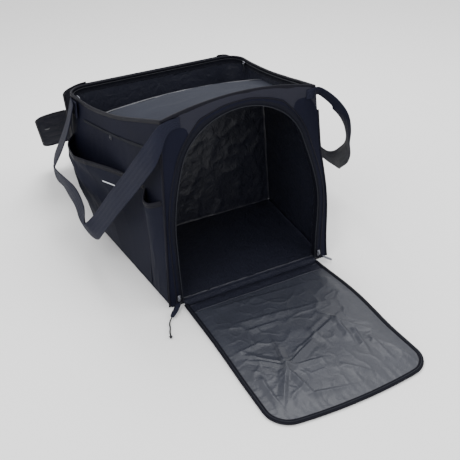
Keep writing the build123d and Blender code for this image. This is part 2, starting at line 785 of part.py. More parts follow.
# ---------------------------------------------------------------- write the parts
pieces = {
    "base_panel": base_panel,
    "base_stiffener_board": base_stiffener_board,
    "left_side_wall": left_side_wall,
    "right_side_wall": right_side_wall,
    "rear_wall": rear_wall,
    "front_frame": front_frame,
    "front_yoke": front_yoke,
    "arch_zip_tape": arch_zip_tape,
    "arch_zip_teeth": arch_zip_teeth,
    "left_corner_piping": left_corner_piping,
    "right_corner_piping": right_corner_piping,
    "rim_binding": rim_binding,
    "rim_zip_tape": rim_zip_tape,
    "rim_zip_teeth": rim_zip_teeth,
    "door_hinge_tape": door_hinge_tape,
    "lid_hinge_tape": lid_hinge_tape,
    "divider_roof": divider_roof,
    "divider_wall": divider_wall,
    "left_pocket": left_pocket,
    "right_pocket": right_pocket,
    "left_pocket_hem": left_pocket_hem,
    "right_pocket_hem": right_pocket_hem,
    "left_small_pocket": left_small_pocket,
    "right_small_pocket": right_small_pocket,
    "small_pocket_hems": small_pocket_hems,
    "pocket_seam_tapes": pocket_seam_tapes,
    "handle_anchor_patches": handle_anchor_patches,
    "press_studs": press_studs,
    "door_panel": door_panel,
    "door_lining": door_lining,
    "door_zip_tape": door_zip_tape,
    "door_zip_teeth": door_zip_teeth,
    "door_binding": door_binding,
    "door_seam": door_seam,
    "lid_panel": lid_panel,
    "lid_lining": lid_lining,
    "lid_zip_tape": lid_zip_tape,
    "lid_binding": lid_binding,
    "left_wing_panel": left_wing_panel,
    "left_wing_binding": left_wing_binding,
    "left_wing_snap": left_wing_snap,
    "right_wing_panel": right_wing_panel,
    "right_wing_binding": right_wing_binding,
    "right_wing_snap": right_wing_snap,
    "left_handle_webbing": left_handle_webbing,
    "right_handle_webbing": right_handle_webbing,
    "left_door_slider": left_door_slider,
    "right_door_slider": right_door_slider,
    "left_pull_tab": left_pull_tab,
    "left_pull_cord": left_pull_cord,
    "left_pull_knot": left_pull_knot,
    "right_metal_pull": right_metal_pull,
    "left_lid_slider": left_lid_slider,
    "right_lid_slider": right_lid_slider,
    "left_lid_pull": left_lid_pull,
    "right_lid_pull": right_lid_pull,
}
for name, piece in pieces.items():
    piece.part.label = name
    export_step(piece.part, f"parts/{name}.step")
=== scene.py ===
"""Ski boot bag, open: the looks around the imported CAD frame.

Lengths below are millimetres in the CAD frame (+Z up, front at -Y), turned into metres as meshes are made.
"""
import math

import bpy
import numpy as np
from mathutils import Matrix, Vector, noise


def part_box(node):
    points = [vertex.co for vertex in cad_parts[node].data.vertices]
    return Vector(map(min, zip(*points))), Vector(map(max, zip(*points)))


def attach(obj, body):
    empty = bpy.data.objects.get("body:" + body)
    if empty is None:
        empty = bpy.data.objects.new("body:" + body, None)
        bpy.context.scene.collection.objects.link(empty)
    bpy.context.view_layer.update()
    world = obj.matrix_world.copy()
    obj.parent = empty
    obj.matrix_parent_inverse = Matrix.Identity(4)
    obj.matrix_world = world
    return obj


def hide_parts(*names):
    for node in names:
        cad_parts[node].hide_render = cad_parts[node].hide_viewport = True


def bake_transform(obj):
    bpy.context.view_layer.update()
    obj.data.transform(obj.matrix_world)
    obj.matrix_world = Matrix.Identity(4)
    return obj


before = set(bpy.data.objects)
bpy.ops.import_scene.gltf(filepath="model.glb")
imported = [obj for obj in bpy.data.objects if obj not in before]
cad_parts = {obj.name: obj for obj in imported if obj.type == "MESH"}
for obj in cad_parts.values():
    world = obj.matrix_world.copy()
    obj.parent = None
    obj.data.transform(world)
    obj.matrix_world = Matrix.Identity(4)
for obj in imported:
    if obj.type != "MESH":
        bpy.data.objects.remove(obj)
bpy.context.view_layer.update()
MM = 0.001

# ---------------------------------------------------------------- driving dimensions
FRONT_Y, REAR_Y = -258.0, 258.0
BEND_Y = 208.0            # the side walls meet the rear corners here
FRONT_BASE_HALF = 200.0
FRONT_TOP_HALF = 172.0
REAR_HALF = 238.0
REAR_CORNER = REAR_Y - BEND_Y
FRONT_HEIGHT = 430.0
CROWN_HEIGHT = 453.0
REAR_HEIGHT = 362.0
CLOTH = 3.0
SIDE_Y = FRONT_Y + CLOTH
BASE = 4.0
SILL = 8.0
OPENING_HALF = 171.0
OPENING_TOP = 424.0
ZIP_TAPE = 12.0
DOOR_HALF = 170.0
DOOR_LENGTH = 420.0
DOOR_CORNER = 52.0
DOOR_BOW = 7.0
DOOR_PIVOT_Y = FRONT_Y - 6.6
DOOR_START = 4.0
DOOR_TOP = 5.2
DOOR_SEAM = 36                # from the door's start to the seam across its lining
LID_PIVOT = Vector((0, REAR_Y + 4, REAR_HEIGHT + 6))
LID_DROP = math.radians(39)
LID_LENGTH = 508.0
LID_START = 5.0
LID_BEND = 54.0
LID_FRONT_HALF = 171.0
WING_START, WING_END = 172.0, 452.0
WING_REACH = 88.0
WING_CORNER = 30.0
WING_GAP = 3.0                # from the lid's edge to the wing's own cloth
SNAP_ALONG, SNAP_OUT = 224.0, 62.0
DIVIDER_Y = 60.0
# each pocket's span in y, height of its mouth, gape, droop of its hem and depth of its fanned folds
SLIP_POCKET = ((-168.0, 204.0), 254.0, 50.0, 6.0, 1.0)
SMALL_POCKET = ((-250.0, -174.0), 252.0, 18.0, 14, 0.0)
POCKET_FOOT = 14.0
WEBBING = 50.0
STUD_Y, STUD_Z = -14.0, 322.0
LID_REAR_CORNER, LID_FRONT_CORNER = 48.0, 24.0
LID_ROUND = 26                # run before the lid's front edge that takes closer rows
HANDLE_FRONT, HANDLE_REAR = (184.4, -256, 424), (247, 225, 350)
STRAP_THICK, STRAP_RIBS = 2.3, 5
STITCH_PITCH, STITCH_LONG, STITCH_FAT = 3.6, 2.5, 0.42
SLIDER_WIDTH, SLIDER_LENGTH, SLIDER_THICK = 9.0, 15.0, 3.2
LATHE_SIDES = 24
COIL_STEP = 1.3               # run of zip for each ring of its coil
LEFT_DIP, RIGHT_DIP = 21.0, 8.0     # how far the open rim sags on each side
LEFT_SWELL, RIGHT_SWELL = 15, 9     # how far a stuffed side bulges at most
SEAM_Y, SEAM_RUN = -186, 322        # seam tape over the pockets: front end, run and heights
SEAM_Z, SEAM_FALL, SEAM_SAG = 355, 38, 5
PATCH_Z, PATCH_RUN = 316, 38        # sewn end of a rear strap on the wall
TAB_LENGTH, TAB_COUNT = 38, 20      # folded tab of the left door pull and its rings
SIDES = ((-1, "left"), (1, "right"))
CAMERA_TURN = (23.678, 30.712, -4.154)      # yaw, pitch down and roll in degrees
CAMERA_SPOT = (-0.5565, -1.4254, 0.9094)    # metres
CAMERA_LENS = 53.57


# ---------------------------------------------------------------- camera
def make_camera():
    yaw, pitch, roll = (math.radians(turn) for turn in CAMERA_TURN)
    reach = math.cos(pitch)
    forward = Vector((math.sin(yaw) * reach, math.cos(yaw) * reach, -math.sin(pitch)))
    level = Vector((math.cos(yaw), -math.sin(yaw), 0))
    above = level.cross(forward)
    right = level * math.cos(roll) + above * math.sin(roll)
    up = above * math.cos(roll) - level * math.sin(roll)
    data = bpy.data.cameras.new("camera")
    data.sensor_width = 36
    data.lens = CAMERA_LENS
    data.clip_end = 50
    camera = bpy.data.objects.new("camera", data)
    bpy.context.scene.collection.objects.link(camera)
    turn = Matrix((right, up, -forward)).transposed().to_4x4()
    camera.matrix_world = Matrix.Translation(CAMERA_SPOT) @ turn
    bpy.context.scene.camera = camera


make_camera()


# ---------------------------------------------------------------- small tools
def bump(value, size, seed=0.0):
    """Smooth noise from -1 to 1 at a point in mm; size is roughly the length of one swell."""
    x, y, z = value
    return noise.noise(Vector((x / size + seed, y / size - seed, z / size + 2 * seed)))


def crease(value, size, seed=0.0, sharp=4):
    """Thin ridges from 0 to 1, as in crumpled cloth."""
    return (1 - min(1, abs(bump(value, size, seed)) * 1.6)) ** sharp


def ramp(low, high, x):
    """0 below low, 1 above high, smooth between."""
    t = min(1, max(0, (x - low) / (high - low)))
    return t * t * (3 - 2 * t)


def unit(v):
    return v / np.maximum(np.linalg.norm(v, axis=-1, keepdims=True), 1e-9)


def make_mesh(name, vertices, faces, materials, uvs=None, face_slots=None, smooth=True):
    """New object from millimetre vertices."""
    mesh = bpy.data.meshes.new(name)
    mesh.from_pydata([tuple(v) for v in np.asarray(vertices) * MM], [], faces)
    for material in materials if isinstance(materials, (list, tuple)) else [materials]:
        mesh.materials.append(material)
    if smooth:
        mesh.polygons.foreach_set("use_smooth", [True] * len(mesh.polygons))
    if face_slots is not None:
        mesh.polygons.foreach_set("material_index", face_slots)
    if uvs is not None:
        layer = mesh.uv_layers.new(name="cloth")
        loops = np.zeros(len(mesh.loops), int)
        mesh.loops.foreach_get("vertex_index", loops)
        layer.data.foreach_set("uv", (np.asarray(uvs) * MM)[loops].ravel())
    mesh.validate()
    piece = bpy.data.objects.new(name, mesh)
    bpy.context.scene.collection.objects.link(piece)
    return piece


def quads(rows, columns, start=0, closed=False, flip=False):
    """Faces of a grid whose vertices are stored row by row."""
    faces = []
    for i in range(rows if closed else rows - 1):
        for j in range(columns - 1):
            a = start + i * columns + j
            b = start + ((i + 1) % rows) * columns + j
            face = (a, b, b + 1, a + 1)
            faces.append(face[::-1] if flip else face)
    return faces


def tube(rows, sides, closed=False):
    """Faces of a tube of rings, capped at both ends unless it is closed on itself."""
    faces = []
    for i in range(rows if closed else rows - 1):
        a, b = i * sides, ((i + 1) % rows) * sides
        for j in range(sides):
            k = (j + 1) % sides
            faces.append((a + j, a + k, b + k, b + j))
    if not closed:
        faces.append(tuple(range(sides))[::-1])
        faces.append(tuple((rows - 1) * sides + j for j in range(sides)))
    return faces


def grid_uvs(along, across):
    """Flat positions of a grid's vertices, row by row."""
    return np.stack(np.meshgrid(along, across, indexing="ij"), -1).reshape(-1, 2)


def lengths(points):
    """Distance run along each row of points."""
    steps = np.linalg.norm(np.diff(points, axis=0), axis=-1)
    return np.concatenate([[0], np.cumsum(steps)])


def cloth(name, outer, inner, materials, closed=False, flip=False):
    """Thin closed piece between two grids of the same shape; materials are the outer's and the inner's."""
    outer, inner = np.asarray(outer, float), np.asarray(inner, float)
    rows, columns = outer.shape[:2]
    count = rows * columns
    faces = quads(rows, columns, 0, closed, flip)
    slots = [0] * len(faces)
    faces += quads(rows, columns, count, closed, not flip)
    slots += [1 if len(materials) > 1 else 0] * (len(faces) - len(slots))
    rim = []
    for i in range(rows if closed else rows - 1):
        k = (i + 1) % rows
        for j, turned in ((0, True), (columns - 1, False)):
            a, b = i * columns + j, k * columns + j
            quad = (a, b, b + count, a + count)
            rim.append(quad if turned != flip else quad[::-1])
    if not closed:
        for j in range(columns - 1):
            for i, turned in ((0, False), (rows - 1, True)):
                a, b = i * columns + j, i * columns + j + 1
                quad = (a, b, b + count, a + count)
                rim.append(quad if turned != flip else quad[::-1])
    faces += rim
    slots += [0] * len(rim)
    one_uv = grid_uvs(lengths(outer.mean(axis=1)), lengths(outer.mean(axis=0)))
    vertices = np.concatenate([outer.reshape(-1, 3), inner.reshape(-1, 3)])
    return make_mesh(name, vertices, faces, materials, np.concatenate([one_uv, one_uv]), slots)


def spaced(points, step, closed=False):
    """Points evenly spaced along a polyline."""
    points = np.asarray(points, float)
    if closed:
        points = np.vstack([points, points[:1]])
    run = lengths(points)
    count = max(2, int(round(run[-1] / step)) + (0 if closed else 1))
    wanted = np.linspace(0, run[-1], count, endpoint=not closed)
    return np.stack([np.interp(wanted, run, points[:, k]) for k in range(3)], -1)


def rounded(corners, cut):
    """Polyline with each corner turned into a smooth curve that starts cut mm before it."""
    corners = [np.asarray(c, float) for c in corners]
    line = [corners[0]]
    for before, corner, after in zip(corners, corners[1:], corners[2:]):
        back, ahead = before - corner, after - corner
        start = corner + back * min(0.5, cut / np.linalg.norm(back))
        end = corner + ahead * min(0.5, cut / np.linalg.norm(ahead))
        for t in np.linspace(0, 1, 13):
            line.append((1 - t) ** 2 * start + 2 * t * (1 - t) * corner + t * t * end)
    line.append(corners[-1])
    return np.array(line)


def headings(points, closed=False):
    """Unit tangents along a path."""
    if closed:
        return unit(np.roll(points, -1, axis=0) - np.roll(points, 1, axis=0))
    return unit(np.gradient(points, axis=0))


def sweep(name, path, facing, section, material, closed=False, scale=None):
    """Section (a, b) swept along a path: b runs along facing, a across it."""
    path = np.asarray(path, float)
    tangent = headings(path, closed)
    facing = np.broadcast_to(np.asarray(facing, float), path.shape)
    across = unit(np.cross(tangent, facing))
    up = unit(np.cross(across, tangent))
    section = np.asarray(section, float)
    size = np.ones(len(path)) if scale is None else np.asarray(scale)
    rings = path[:, None] + size[:, None, None] * (
        across[:, None] * section[None, :, :1] + up[:, None] * section[None, :, 1:]
    )
    faces = tube(*rings.shape[:2], closed)
    round_it = lengths(np.vstack([section, section[:1]]))[:-1]
    return make_mesh(name, rings.reshape(-1, 3), faces, material, grid_uvs(lengths(path), round_it))


def circle(radius, sides):
    turns = np.linspace(0, 2 * math.pi, sides, endpoint=False)
    return [(radius * math.cos(t), radius * math.sin(t)) for t in turns]


def strap_section(width, thick, ribs=0):
    """Flat webbing section with rounded edges, and shallow ribs along it."""
    half, deep = width / 2, thick / 2
    xs = np.linspace(-half + deep, half - deep, 5 + 4 * ribs)
    wave = [0.16 * thick * math.cos(2 * math.pi * ribs * (x + half) / width) for x in xs]
    top = [(x, deep + w) for x, w in zip(xs, wave)]
    bottom = [(x, -deep - w) for x, w in zip(xs, wave)]
    return [(-half, 0)] + top + [(half, 0)] + bottom[::-1]


def lathe(name, profile, centre, axis, material):
    """Turned piece: profile points are (radius, height along the axis)."""
    axis = Vector(axis).normalized()
    side = axis.orthogonal().normalized()
    other = axis.cross(side)
    vertices = []
    for radius, height in profile:
        spot = Vector(centre) + axis * height
        for t in np.linspace(0, 2 * math.pi, LATHE_SIDES, endpoint=False):
            vertices.append(spot + (side * math.cos(t) + other * math.sin(t)) * radius)
    faces = tube(len(profile), LATHE_SIDES)
    return make_mesh(name, [tuple(v) for v in vertices], faces, material)


def stitches(name, runs):
    """Rows of thread stitches; each run is a path and the way its cloth faces."""
    vertices, faces = [], []
    for path, facing in runs:
        points = spaced(path, STITCH_PITCH)
        tangent = headings(points)
        facing = unit(np.broadcast_to(np.asarray(facing, float), points.shape))
        across = unit(np.cross(tangent, facing))
        for p, t, a, f in zip(points, tangent, across, facing):
            base = len(vertices)
            reach, wide, high = t * STITCH_LONG / 2, a * STITCH_FAT, f * STITCH_FAT
            vertices += [p - reach, p + wide, p + high, p - wide, p - high, p + reach]
            for j in range(4):
                k = (j + 1) % 4
                faces += [(base, base + 1 + k, base + 1 + j), (base + 5, base + 1 + j, base + 1 + k)]
    return make_mesh(name, vertices, faces, thread, smooth=False)


def place(piece, body, slot_name, *nodes):
    """The piece rides on a body and stands for CAD nodes, which it hides; slot_name is not used."""
    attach(piece, body)
    if nodes:
        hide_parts(*nodes)
    return piece


# ---------------------------------------------------------------- materials
def new_material(name, colour, roughness, coat=0.0, metallic=0.0, specular=0.09):
    material = bpy.data.materials.new(name)
    material.use_nodes = True
    shader = material.node_tree.nodes["Principled BSDF"]
    shader.inputs["Base Color"].default_value = (*colour, 1)
    shader.inputs["Roughness"].default_value = roughness
    shader.inputs["Coat Weight"].default_value = coat
    shader.inputs["Coat Roughness"].default_value = 0.3
    shader.inputs["Metallic"].default_value = metallic
    shader.inputs["Specular IOR Level"].default_value = specular
    return material, material.node_tree, shader


def node(tree, kind, **settings):
    made = tree.nodes.new(kind)
    for key, value in settings.items():
        if key in made.inputs:
            made.inputs[key].default_value = value
        else:
            setattr(made, key, value)
    return made


def texture(tree, kind, coordinates, **settings):
    """Texture node that reads the given coordinates; its Fac output comes back."""
    made = node(tree, f"ShaderNodeTex{kind}", **settings)
    tree.links.new(coordinates, made.inputs["Vector"])
    return made.outputs["Fac"]


def combined(tree, operation, first, second):
    """Sum or product of two values."""
    made = node(tree, "ShaderNodeMath", operation=operation)
    tree.links.new(first, made.inputs[0])
    tree.links.new(second, made.inputs[1])
    return made.outputs[0]


def relief(tree, height, strength, distance, onto, below=None):
    """Bump made from a height, over another bump's normal where one is given."""
    made = node(tree, "ShaderNodeBump", Strength=strength, Distance=distance)
    tree.links.new(height, made.inputs["Height"])
    if below:
        tree.links.new(below, made.inputs["Normal"])
    if onto:
        tree.links.new(made.outputs["Normal"], onto.inputs["Normal"])
    return made.outputs["Normal"]


def blotches(tree, shader, colour, coordinates, spread, size=9.0):
    """Slow changes of tone over the surface."""
    cloud = texture(tree, "Noise", coordinates, Scale=size, Detail=4.0)
    mix = node(tree, "ShaderNodeMix", data_type="RGBA")
    mix.inputs[6].default_value = (*[c * (1 - spread) for c in colour], 1)
    mix.inputs[7].default_value = (*[c * (1 + spread) for c in colour], 1)
    tree.links.new(cloud, mix.inputs[0])
    tree.links.new(mix.outputs[2], shader.inputs["Base Color"])
    return mix


WAVE_SCALE = 0.314        # a wave texture's scale for one wave in each unit of length
WEAVE_DEPTH, WEAVE_SPECKLE = 0.25, 0.3


def woven(name, colour, roughness=0.75, pitch=1.1, spread=0.22, coat=0.0):
    """Plain-weave cloth: two crossed sets of threads, a fine grain and slow changes of tone."""
    material, tree, shader = new_material(name, colour, roughness, coat)
    spot = node(tree, "ShaderNodeTexCoord").outputs
    tone = blotches(tree, shader, colour, spot["Object"], spread)
    scale = WAVE_SCALE / (pitch * MM)
    threads = [
        texture(tree, "Wave", spot["UV"], bands_direction=direction, Scale=scale, Distortion=0.3)
        for direction in ("X", "Y")
    ]
    cross = combined(tree, "MULTIPLY", *threads)
    grain = texture(tree, "Noise", spot["Object"], Scale=900.0, Detail=2.0)
    relief(tree, combined(tree, "ADD", cross, grain), WEAVE_DEPTH, 0.0006, shader)
    flecks = node(tree, "ShaderNodeMix", data_type="RGBA", blend_type="MULTIPLY")
    flecks.inputs[0].default_value = WEAVE_SPECKLE
    tree.links.new(tone.outputs[2], flecks.inputs[6])
    tree.links.new(grain.node.outputs["Color"], flecks.inputs[7])
    tree.links.new(flecks.outputs[2], shader.inputs["Base Color"])
    return material


def coated(name, colour, roughness, crumple):
    """Coated lining: smooth, with fine crumples that catch the light."""
    material, tree, shader = new_material(name, colour, roughness, specular=0.5)
    spot = node(tree, "ShaderNodeTexCoord").outputs["Object"]
    blotches(tree, shader, colour, spot, 0.18, 14.0)
    fine = texture(tree, "Noise", spot, Scale=60.0, Detail=5.0, Roughness=0.55, Distortion=0.6)
    crumpled = relief(tree, fine, crumple, 0.004, None)
    cells = texture(tree, "Noise", spot, Scale=700.0, Detail=1.0)
    relief(tree, cells, 0.12, 0.0005, shader, crumpled)
    return material


def ribbed(name, colour, pitch=2.2, roughness=0.62, depth=0.5):
    """Webbing: ribs across the strap over a fine twill."""
    material, tree, shader = new_material(name, colour, roughness)
    spot = node(tree, "ShaderNodeTexCoord").outputs
    blotches(tree, shader, colour, spot["Object"], 0.18, 16.0)
    scale = WAVE_SCALE / (pitch * MM)
    wave = texture(tree, "Wave", spot["UV"], bands_direction="X", Scale=scale, Distortion=1.2, Detail=1.0)
    scale = WAVE_SCALE / (0.8 * pitch * MM)
    twill = texture(tree, "Wave", spot["UV"], bands_direction="DIAGONAL", Scale=scale)
    relief(tree, combined(tree, "ADD", wave, twill), depth, 0.0005, shader)
    return material


def metal(name, colour, roughness):
    """Metal with uneven wear."""
    material, tree, shader = new_material(name, colour, roughness, metallic=1.0, specular=0.5)
    spot = node(tree, "ShaderNodeTexCoord").outputs["Object"]
    wear = texture(tree, "Noise", spot, Scale=180.0, Detail=3.0)
    spread = node(tree, "ShaderNodeMapRange")
    spread.inputs["To Min"].default_value = roughness - 0.1
    spread.inputs["To Max"].default_value = roughness + 0.15
    tree.links.new(wear, spread.inputs["Value"])
    tree.links.new(spread.outputs["Result"], shader.inputs["Roughness"])
    return material


NAVY = (0.0052, 0.0059, 0.0148)
outer_cloth = woven("outer_cloth", NAVY)
pocket_cloth = woven("pocket_cloth", (0.0074, 0.0084, 0.0176), pitch=1.3)
yoke_cloth = woven("yoke_cloth", (0.0200, 0.0205, 0.0300), pitch=1.5)
under_cloth = woven("under_cloth", (0.006, 0.006, 0.009), roughness=0.5, pitch=2.0, coat=0.1)
tape_cloth = woven("tape_cloth", (0.0060, 0.0065, 0.0115), pitch=0.8)
grey_pad = woven("grey_pad", (0.022, 0.025, 0.037), pitch=1.2)
grey_tape = woven("grey_tape", (0.010, 0.011, 0.016), pitch=0.9)
binding_cloth = ribbed("binding_cloth", (0.0052, 0.0052, 0.0092), 1.4, 0.55, 0.35)
webbing = ribbed("webbing", (0.0100, 0.0111, 0.0218))
thread = woven("thread", (0.020, 0.021, 0.033), pitch=0.4, spread=0.1)
dark_lining = coated("dark_lining", (0.0125, 0.0138, 0.0235), 0.42, 0.6)
door_coat = coated("door_coat", (0.0235, 0.0262, 0.037), 0.44, 0.32)
teeth_plastic = new_material("teeth_plastic", (0.016, 0.017, 0.022), 0.35)[0]
nickel = metal("nickel", (0.17, 0.175, 0.20), 0.34)
gunmetal = metal("gunmetal", (0.035, 0.036, 0.044), 0.42)
cord_braid = ribbed("cord_braid", (0.014, 0.014, 0.018), 1.2)
reflective = new_material("reflective", (0.62, 0.64, 0.68), 0.35)[0]


# ---------------------------------------------------------------- shape of the body
def rim_height(y):
    """Height of the side rim at y."""
    rise = (FRONT_HEIGHT - REAR_HEIGHT) * (BEND_Y - y) / (BEND_Y - SIDE_Y)
    return REAR_HEIGHT + max(rise, 0.0)


def swell(side, y, z):
    """How far a stuffed side bulges past its straight wall: the left at the rear, the right at the front."""
    if side < 0:
        level = math.sin(math.pi * min(1, max(0, (z - 16) / 330)))
        return LEFT_SWELL * math.exp(-(((y - 200) / 95) ** 2)) * level**1.1
    level = math.sin(math.pi * min(1, max(0, (z - 20) / 300)))
    return RIGHT_SWELL * level**2 * max(0, 1 - (y - FRONT_Y) / 250) ** 1.5


def side_half(side, y, z):
    """Half width of the filled bag on one side."""
    return half_width(y, z) + swell(side, y, z)


def corner_cut(left, corner):
    """How much a corner of this radius takes off an edge, left mm before the end."""
    return corner - math.sqrt(max(0, corner**2 - (corner - left) ** 2)) if left < corner else 0.0


def half_width(y, z):
    """Half width of the straight-walled bag."""
    lean = (FRONT_BASE_HALF - FRONT_TOP_HALF) * (z - BASE) / (FRONT_HEIGHT - BASE)
    front = FRONT_BASE_HALF - lean
    return front + (REAR_HALF - front) * (min(y, BEND_Y) - SIDE_Y) / (BEND_Y - SIDE_Y)


def perimeter(step=9.0):
    """Stations round the body from the front left corner, past the rear, to the front right corner.

    Each is (kind, side, value): the value is y on a side wall, degrees of turn at a corner, x at the rear.
    """
    stations = []
    ys = np.linspace(FRONT_Y + 1, BEND_Y, int((BEND_Y - FRONT_Y) / step))
    stations += [("side", -1, y) for y in ys]
    stations += [("corner", -1, turn) for turn in np.linspace(0, 90, 9)[1:]]
    reach = REAR_HALF - REAR_CORNER
    stations += [("rear", 0, x) for x in np.linspace(-reach, reach, 44)[1:-1]]
    stations += [("corner", 1, turn) for turn in np.linspace(90, 0, 9)[:-1]]
    stations += [("side", 1, y) for y in ys[::-1]]
    return stations


def station_point(station, z):
    """Point and outward direction of the body's surface at a station and a height."""
    kind, side, value = station
    if kind == "side":
        slope = side_half(side, value + 1, z) - side_half(side, value, z)
        away = np.array([side, -slope, 0.0]) / math.hypot(1, slope)
        spot = np.array([side * side_half(side, value, z), value, z])
    elif kind == "corner":
        turn = math.radians(value)
        away = np.array([side * math.cos(turn), math.sin(turn), 0.0])
        centre = np.array([side * (REAR_HALF - REAR_CORNER), BEND_Y, z])
        spot = centre + away * (REAR_CORNER + swell(side, BEND_Y, z) * math.cos(turn) ** 2)
    else:
        away = np.array([0.0, 1.0, 0.0])
        spot = np.array([value, REAR_Y, z])
    return spot, away


def rim_dip(side, y):
    """How far the open rim hangs between the front and the rear corners."""
    share = min(1, max(0, (y - FRONT_Y) / (BEND_Y - FRONT_Y)))
    return (LEFT_DIP if side < 0 else RIGHT_DIP) * math.sin(math.pi * share**1.25) ** 0.9


def station_top(station):
    """Height of the rim at a station."""
    kind, side, y = station
    return rim_height(y) - rim_dip(side, y) if kind == "side" else REAR_HEIGHT


def sag(spot, share):
    """How far the outer cloth swells out: full in the middle, nothing at the rim, folds low down."""
    full = math.sin(math.pi * min(1, share * 1.05))
    folds = 1.8 * bump(spot, 90, 3.1) + 1.6 * crease(spot * np.array([1, 1, 0.35]), 60, 5.2)
    return full * (2.5 + folds) + 0.35 * bump(spot, 18, 1.7)


def make_walls():
    stations = perimeter()
    shares = np.concatenate([[0, 0.006, 0.014, 0.024], np.linspace(0.045, 1, 44)])
    outer, inner = [], []
    for station in stations:
        top = station_top(station)
        column_out, column_in = [], []
        for share in shares:
            z = 0.6 + (top - 0.6) * share
            tuck = 7 * (1 - math.sqrt(max(0, 1 - (1 - min(1, z / 9)) ** 2)))
            spot, away = station_point(station, z)
            column_out.append(spot + away * (sag(spot, share) - tuck))
            ripple = 1.3 * crease(spot, 42, 8.8, 5) + 0.8 * bump(spot, 70, 2.2)
            inside = max(z, BASE)
            spot, away = station_point(station, inside)
            column_in.append(spot - away * (CLOTH + 0.4 + ripple * math.sin(math.pi * share)))
        outer.append(column_out)
        inner.append(column_in)
    walls = cloth("body_walls", outer, inner, [outer_cloth, dark_lining])
    place(walls, "shell", "shell_fabric", "left_side_wall", "right_side_wall", "rear_wall")


def make_base():
    straight, bend = np.linspace(FRONT_Y + 2, BEND_Y, 30), np.linspace(BEND_Y, REAR_Y - 3, 12)
    under, over, floor = [], [], []
    for y in np.concatenate([straight, bend[1:]]):
        past = max(0, y - BEND_Y)
        round_off = REAR_CORNER - math.sqrt(REAR_CORNER**2 - min(past, REAR_CORNER) ** 2)
        half = half_width(y, BASE) - round_off - 4
        xs = np.linspace(-half, half, 40)
        lift = [0.5 * abs(bump((x, y, 0), 55, 4.4)) for x in xs]
        under.append([(x, y, 0.4 + a) for x, a in zip(xs, lift)])
        over.append([(x, y, 3.6) for x in xs])
        heights = [6.2 + 1.5 * crease((x, y, 0), 60, 7.1) + 0.6 * bump((x, y, 0), 30) for x in xs]
        floor.append([(x * 0.985, y, z) for x, z in zip(xs, heights)])
    place(cloth("base_cloth", under, over, [under_cloth]), "shell", "base_cloth", "base_panel")
    under = np.array(over) + np.array([0, 0, 0.3])
    boards = cloth("floor_board_cover", floor, under, [dark_lining], flip=True)
    place(boards, "shell", "board", "base_stiffener_board")


def arch_line(grow=0.0):
    """Points of the arched opening from the lower left, over the top, to the lower right, as (x, z)."""
    half, top = OPENING_HALF + grow, OPENING_TOP + grow
    side = [(half - (z - SILL) / 142, z) for z in np.linspace(SILL, 150, 12)]
    shoulder = (half - 32, 330)
    crown = (half - 92, top - 21)

    def tangent_arc(start, heading, end):
        """Points of the arc that leaves start along heading and ends at end, and its last heading."""
        chord = np.subtract(end, start)
        bend = math.atan2(heading[0] * chord[1] - heading[1] * chord[0], np.dot(heading, chord))
        radius = np.linalg.norm(chord) / (2 * math.sin(bend))
        normal = np.array([-heading[1], heading[0]])
        centre = np.array(start) + normal * radius
        arm = np.array(start) - centre
        found = []
        for turn in np.linspace(0, 2 * bend, 14)[1:]:
            c, s = math.cos(turn), math.sin(turn)
            found.append(tuple(centre + (arm[0] * c - arm[1] * s, arm[0] * s + arm[1] * c)))
        c, s = math.cos(2 * bend), math.sin(2 * bend)
        return found, (heading[0] * c - heading[1] * s, heading[0] * s + heading[1] * c)

    heading = np.array([-1.0, 142.0]) / math.hypot(1, 142)
    lower, heading = tangent_arc(side[-1], heading, shoulder)
    upper, _ = tangent_arc(shoulder, heading, crown)
    rise = top - crown[1]
    radius = (crown[0] ** 2 + rise**2) / (2 * rise)
    lid = [(x, top - radius + math.sqrt(radius**2 - x * x)) for x in np.linspace(crown[0], 0, 14)[1:]]
    straight = side + lower + upper + lid
    left = [(-x, z) for x, z in straight]
    right = [(x + swell(1, FRONT_Y, z) * ramp(0, 120, x), z) for x, z in straight]
    return np.array(left + right[::-1][1:])


def crown_height(x):
    """Height of the front rim at x."""
    rise = CROWN_HEIGHT - FRONT_HEIGHT
    radius = (FRONT_TOP_HALF**2 + rise**2) / (2 * rise)
    return CROWN_HEIGHT - radius + math.sqrt(radius**2 - min(abs(x), FRONT_TOP_HALF) ** 2)


def front_edge_line():
    """Outline of the front face, from the lower left, over the crown, to the lower right."""
    zs = np.linspace(BASE, FRONT_HEIGHT, 40)
    left = [(-side_half(-1, SIDE_Y, z), z) for z in zs]
    top = [(x, crown_height(x)) for x in np.linspace(-FRONT_TOP_HALF, FRONT_TOP_HALF, 40)[1:-1]]
    right = [(side_half(1, SIDE_Y, z), z) for z in zs]
    return np.array(left + top + right[::-1])


def flat_spaced(line, count):
    """Evenly spaced (x, z) points along a line."""
    run = lengths(np.asarray(line, float))
    wanted = np.linspace(0, run[-1], count)
    return np.stack([np.interp(wanted, run, np.asarray(line)[:, k]) for k in range(2)], -1)


def yoke_low(x):
    """Lowest height of the light band on the front face where the straps wrap on to it."""
    across = (117, 120, 128, 139, 150, 159, 168, 174)
    return float(np.interp(abs(x), across, (0.0, 402.0, 409.0, 411.0, 411.0, 405.0, 393.0, 381.0)))


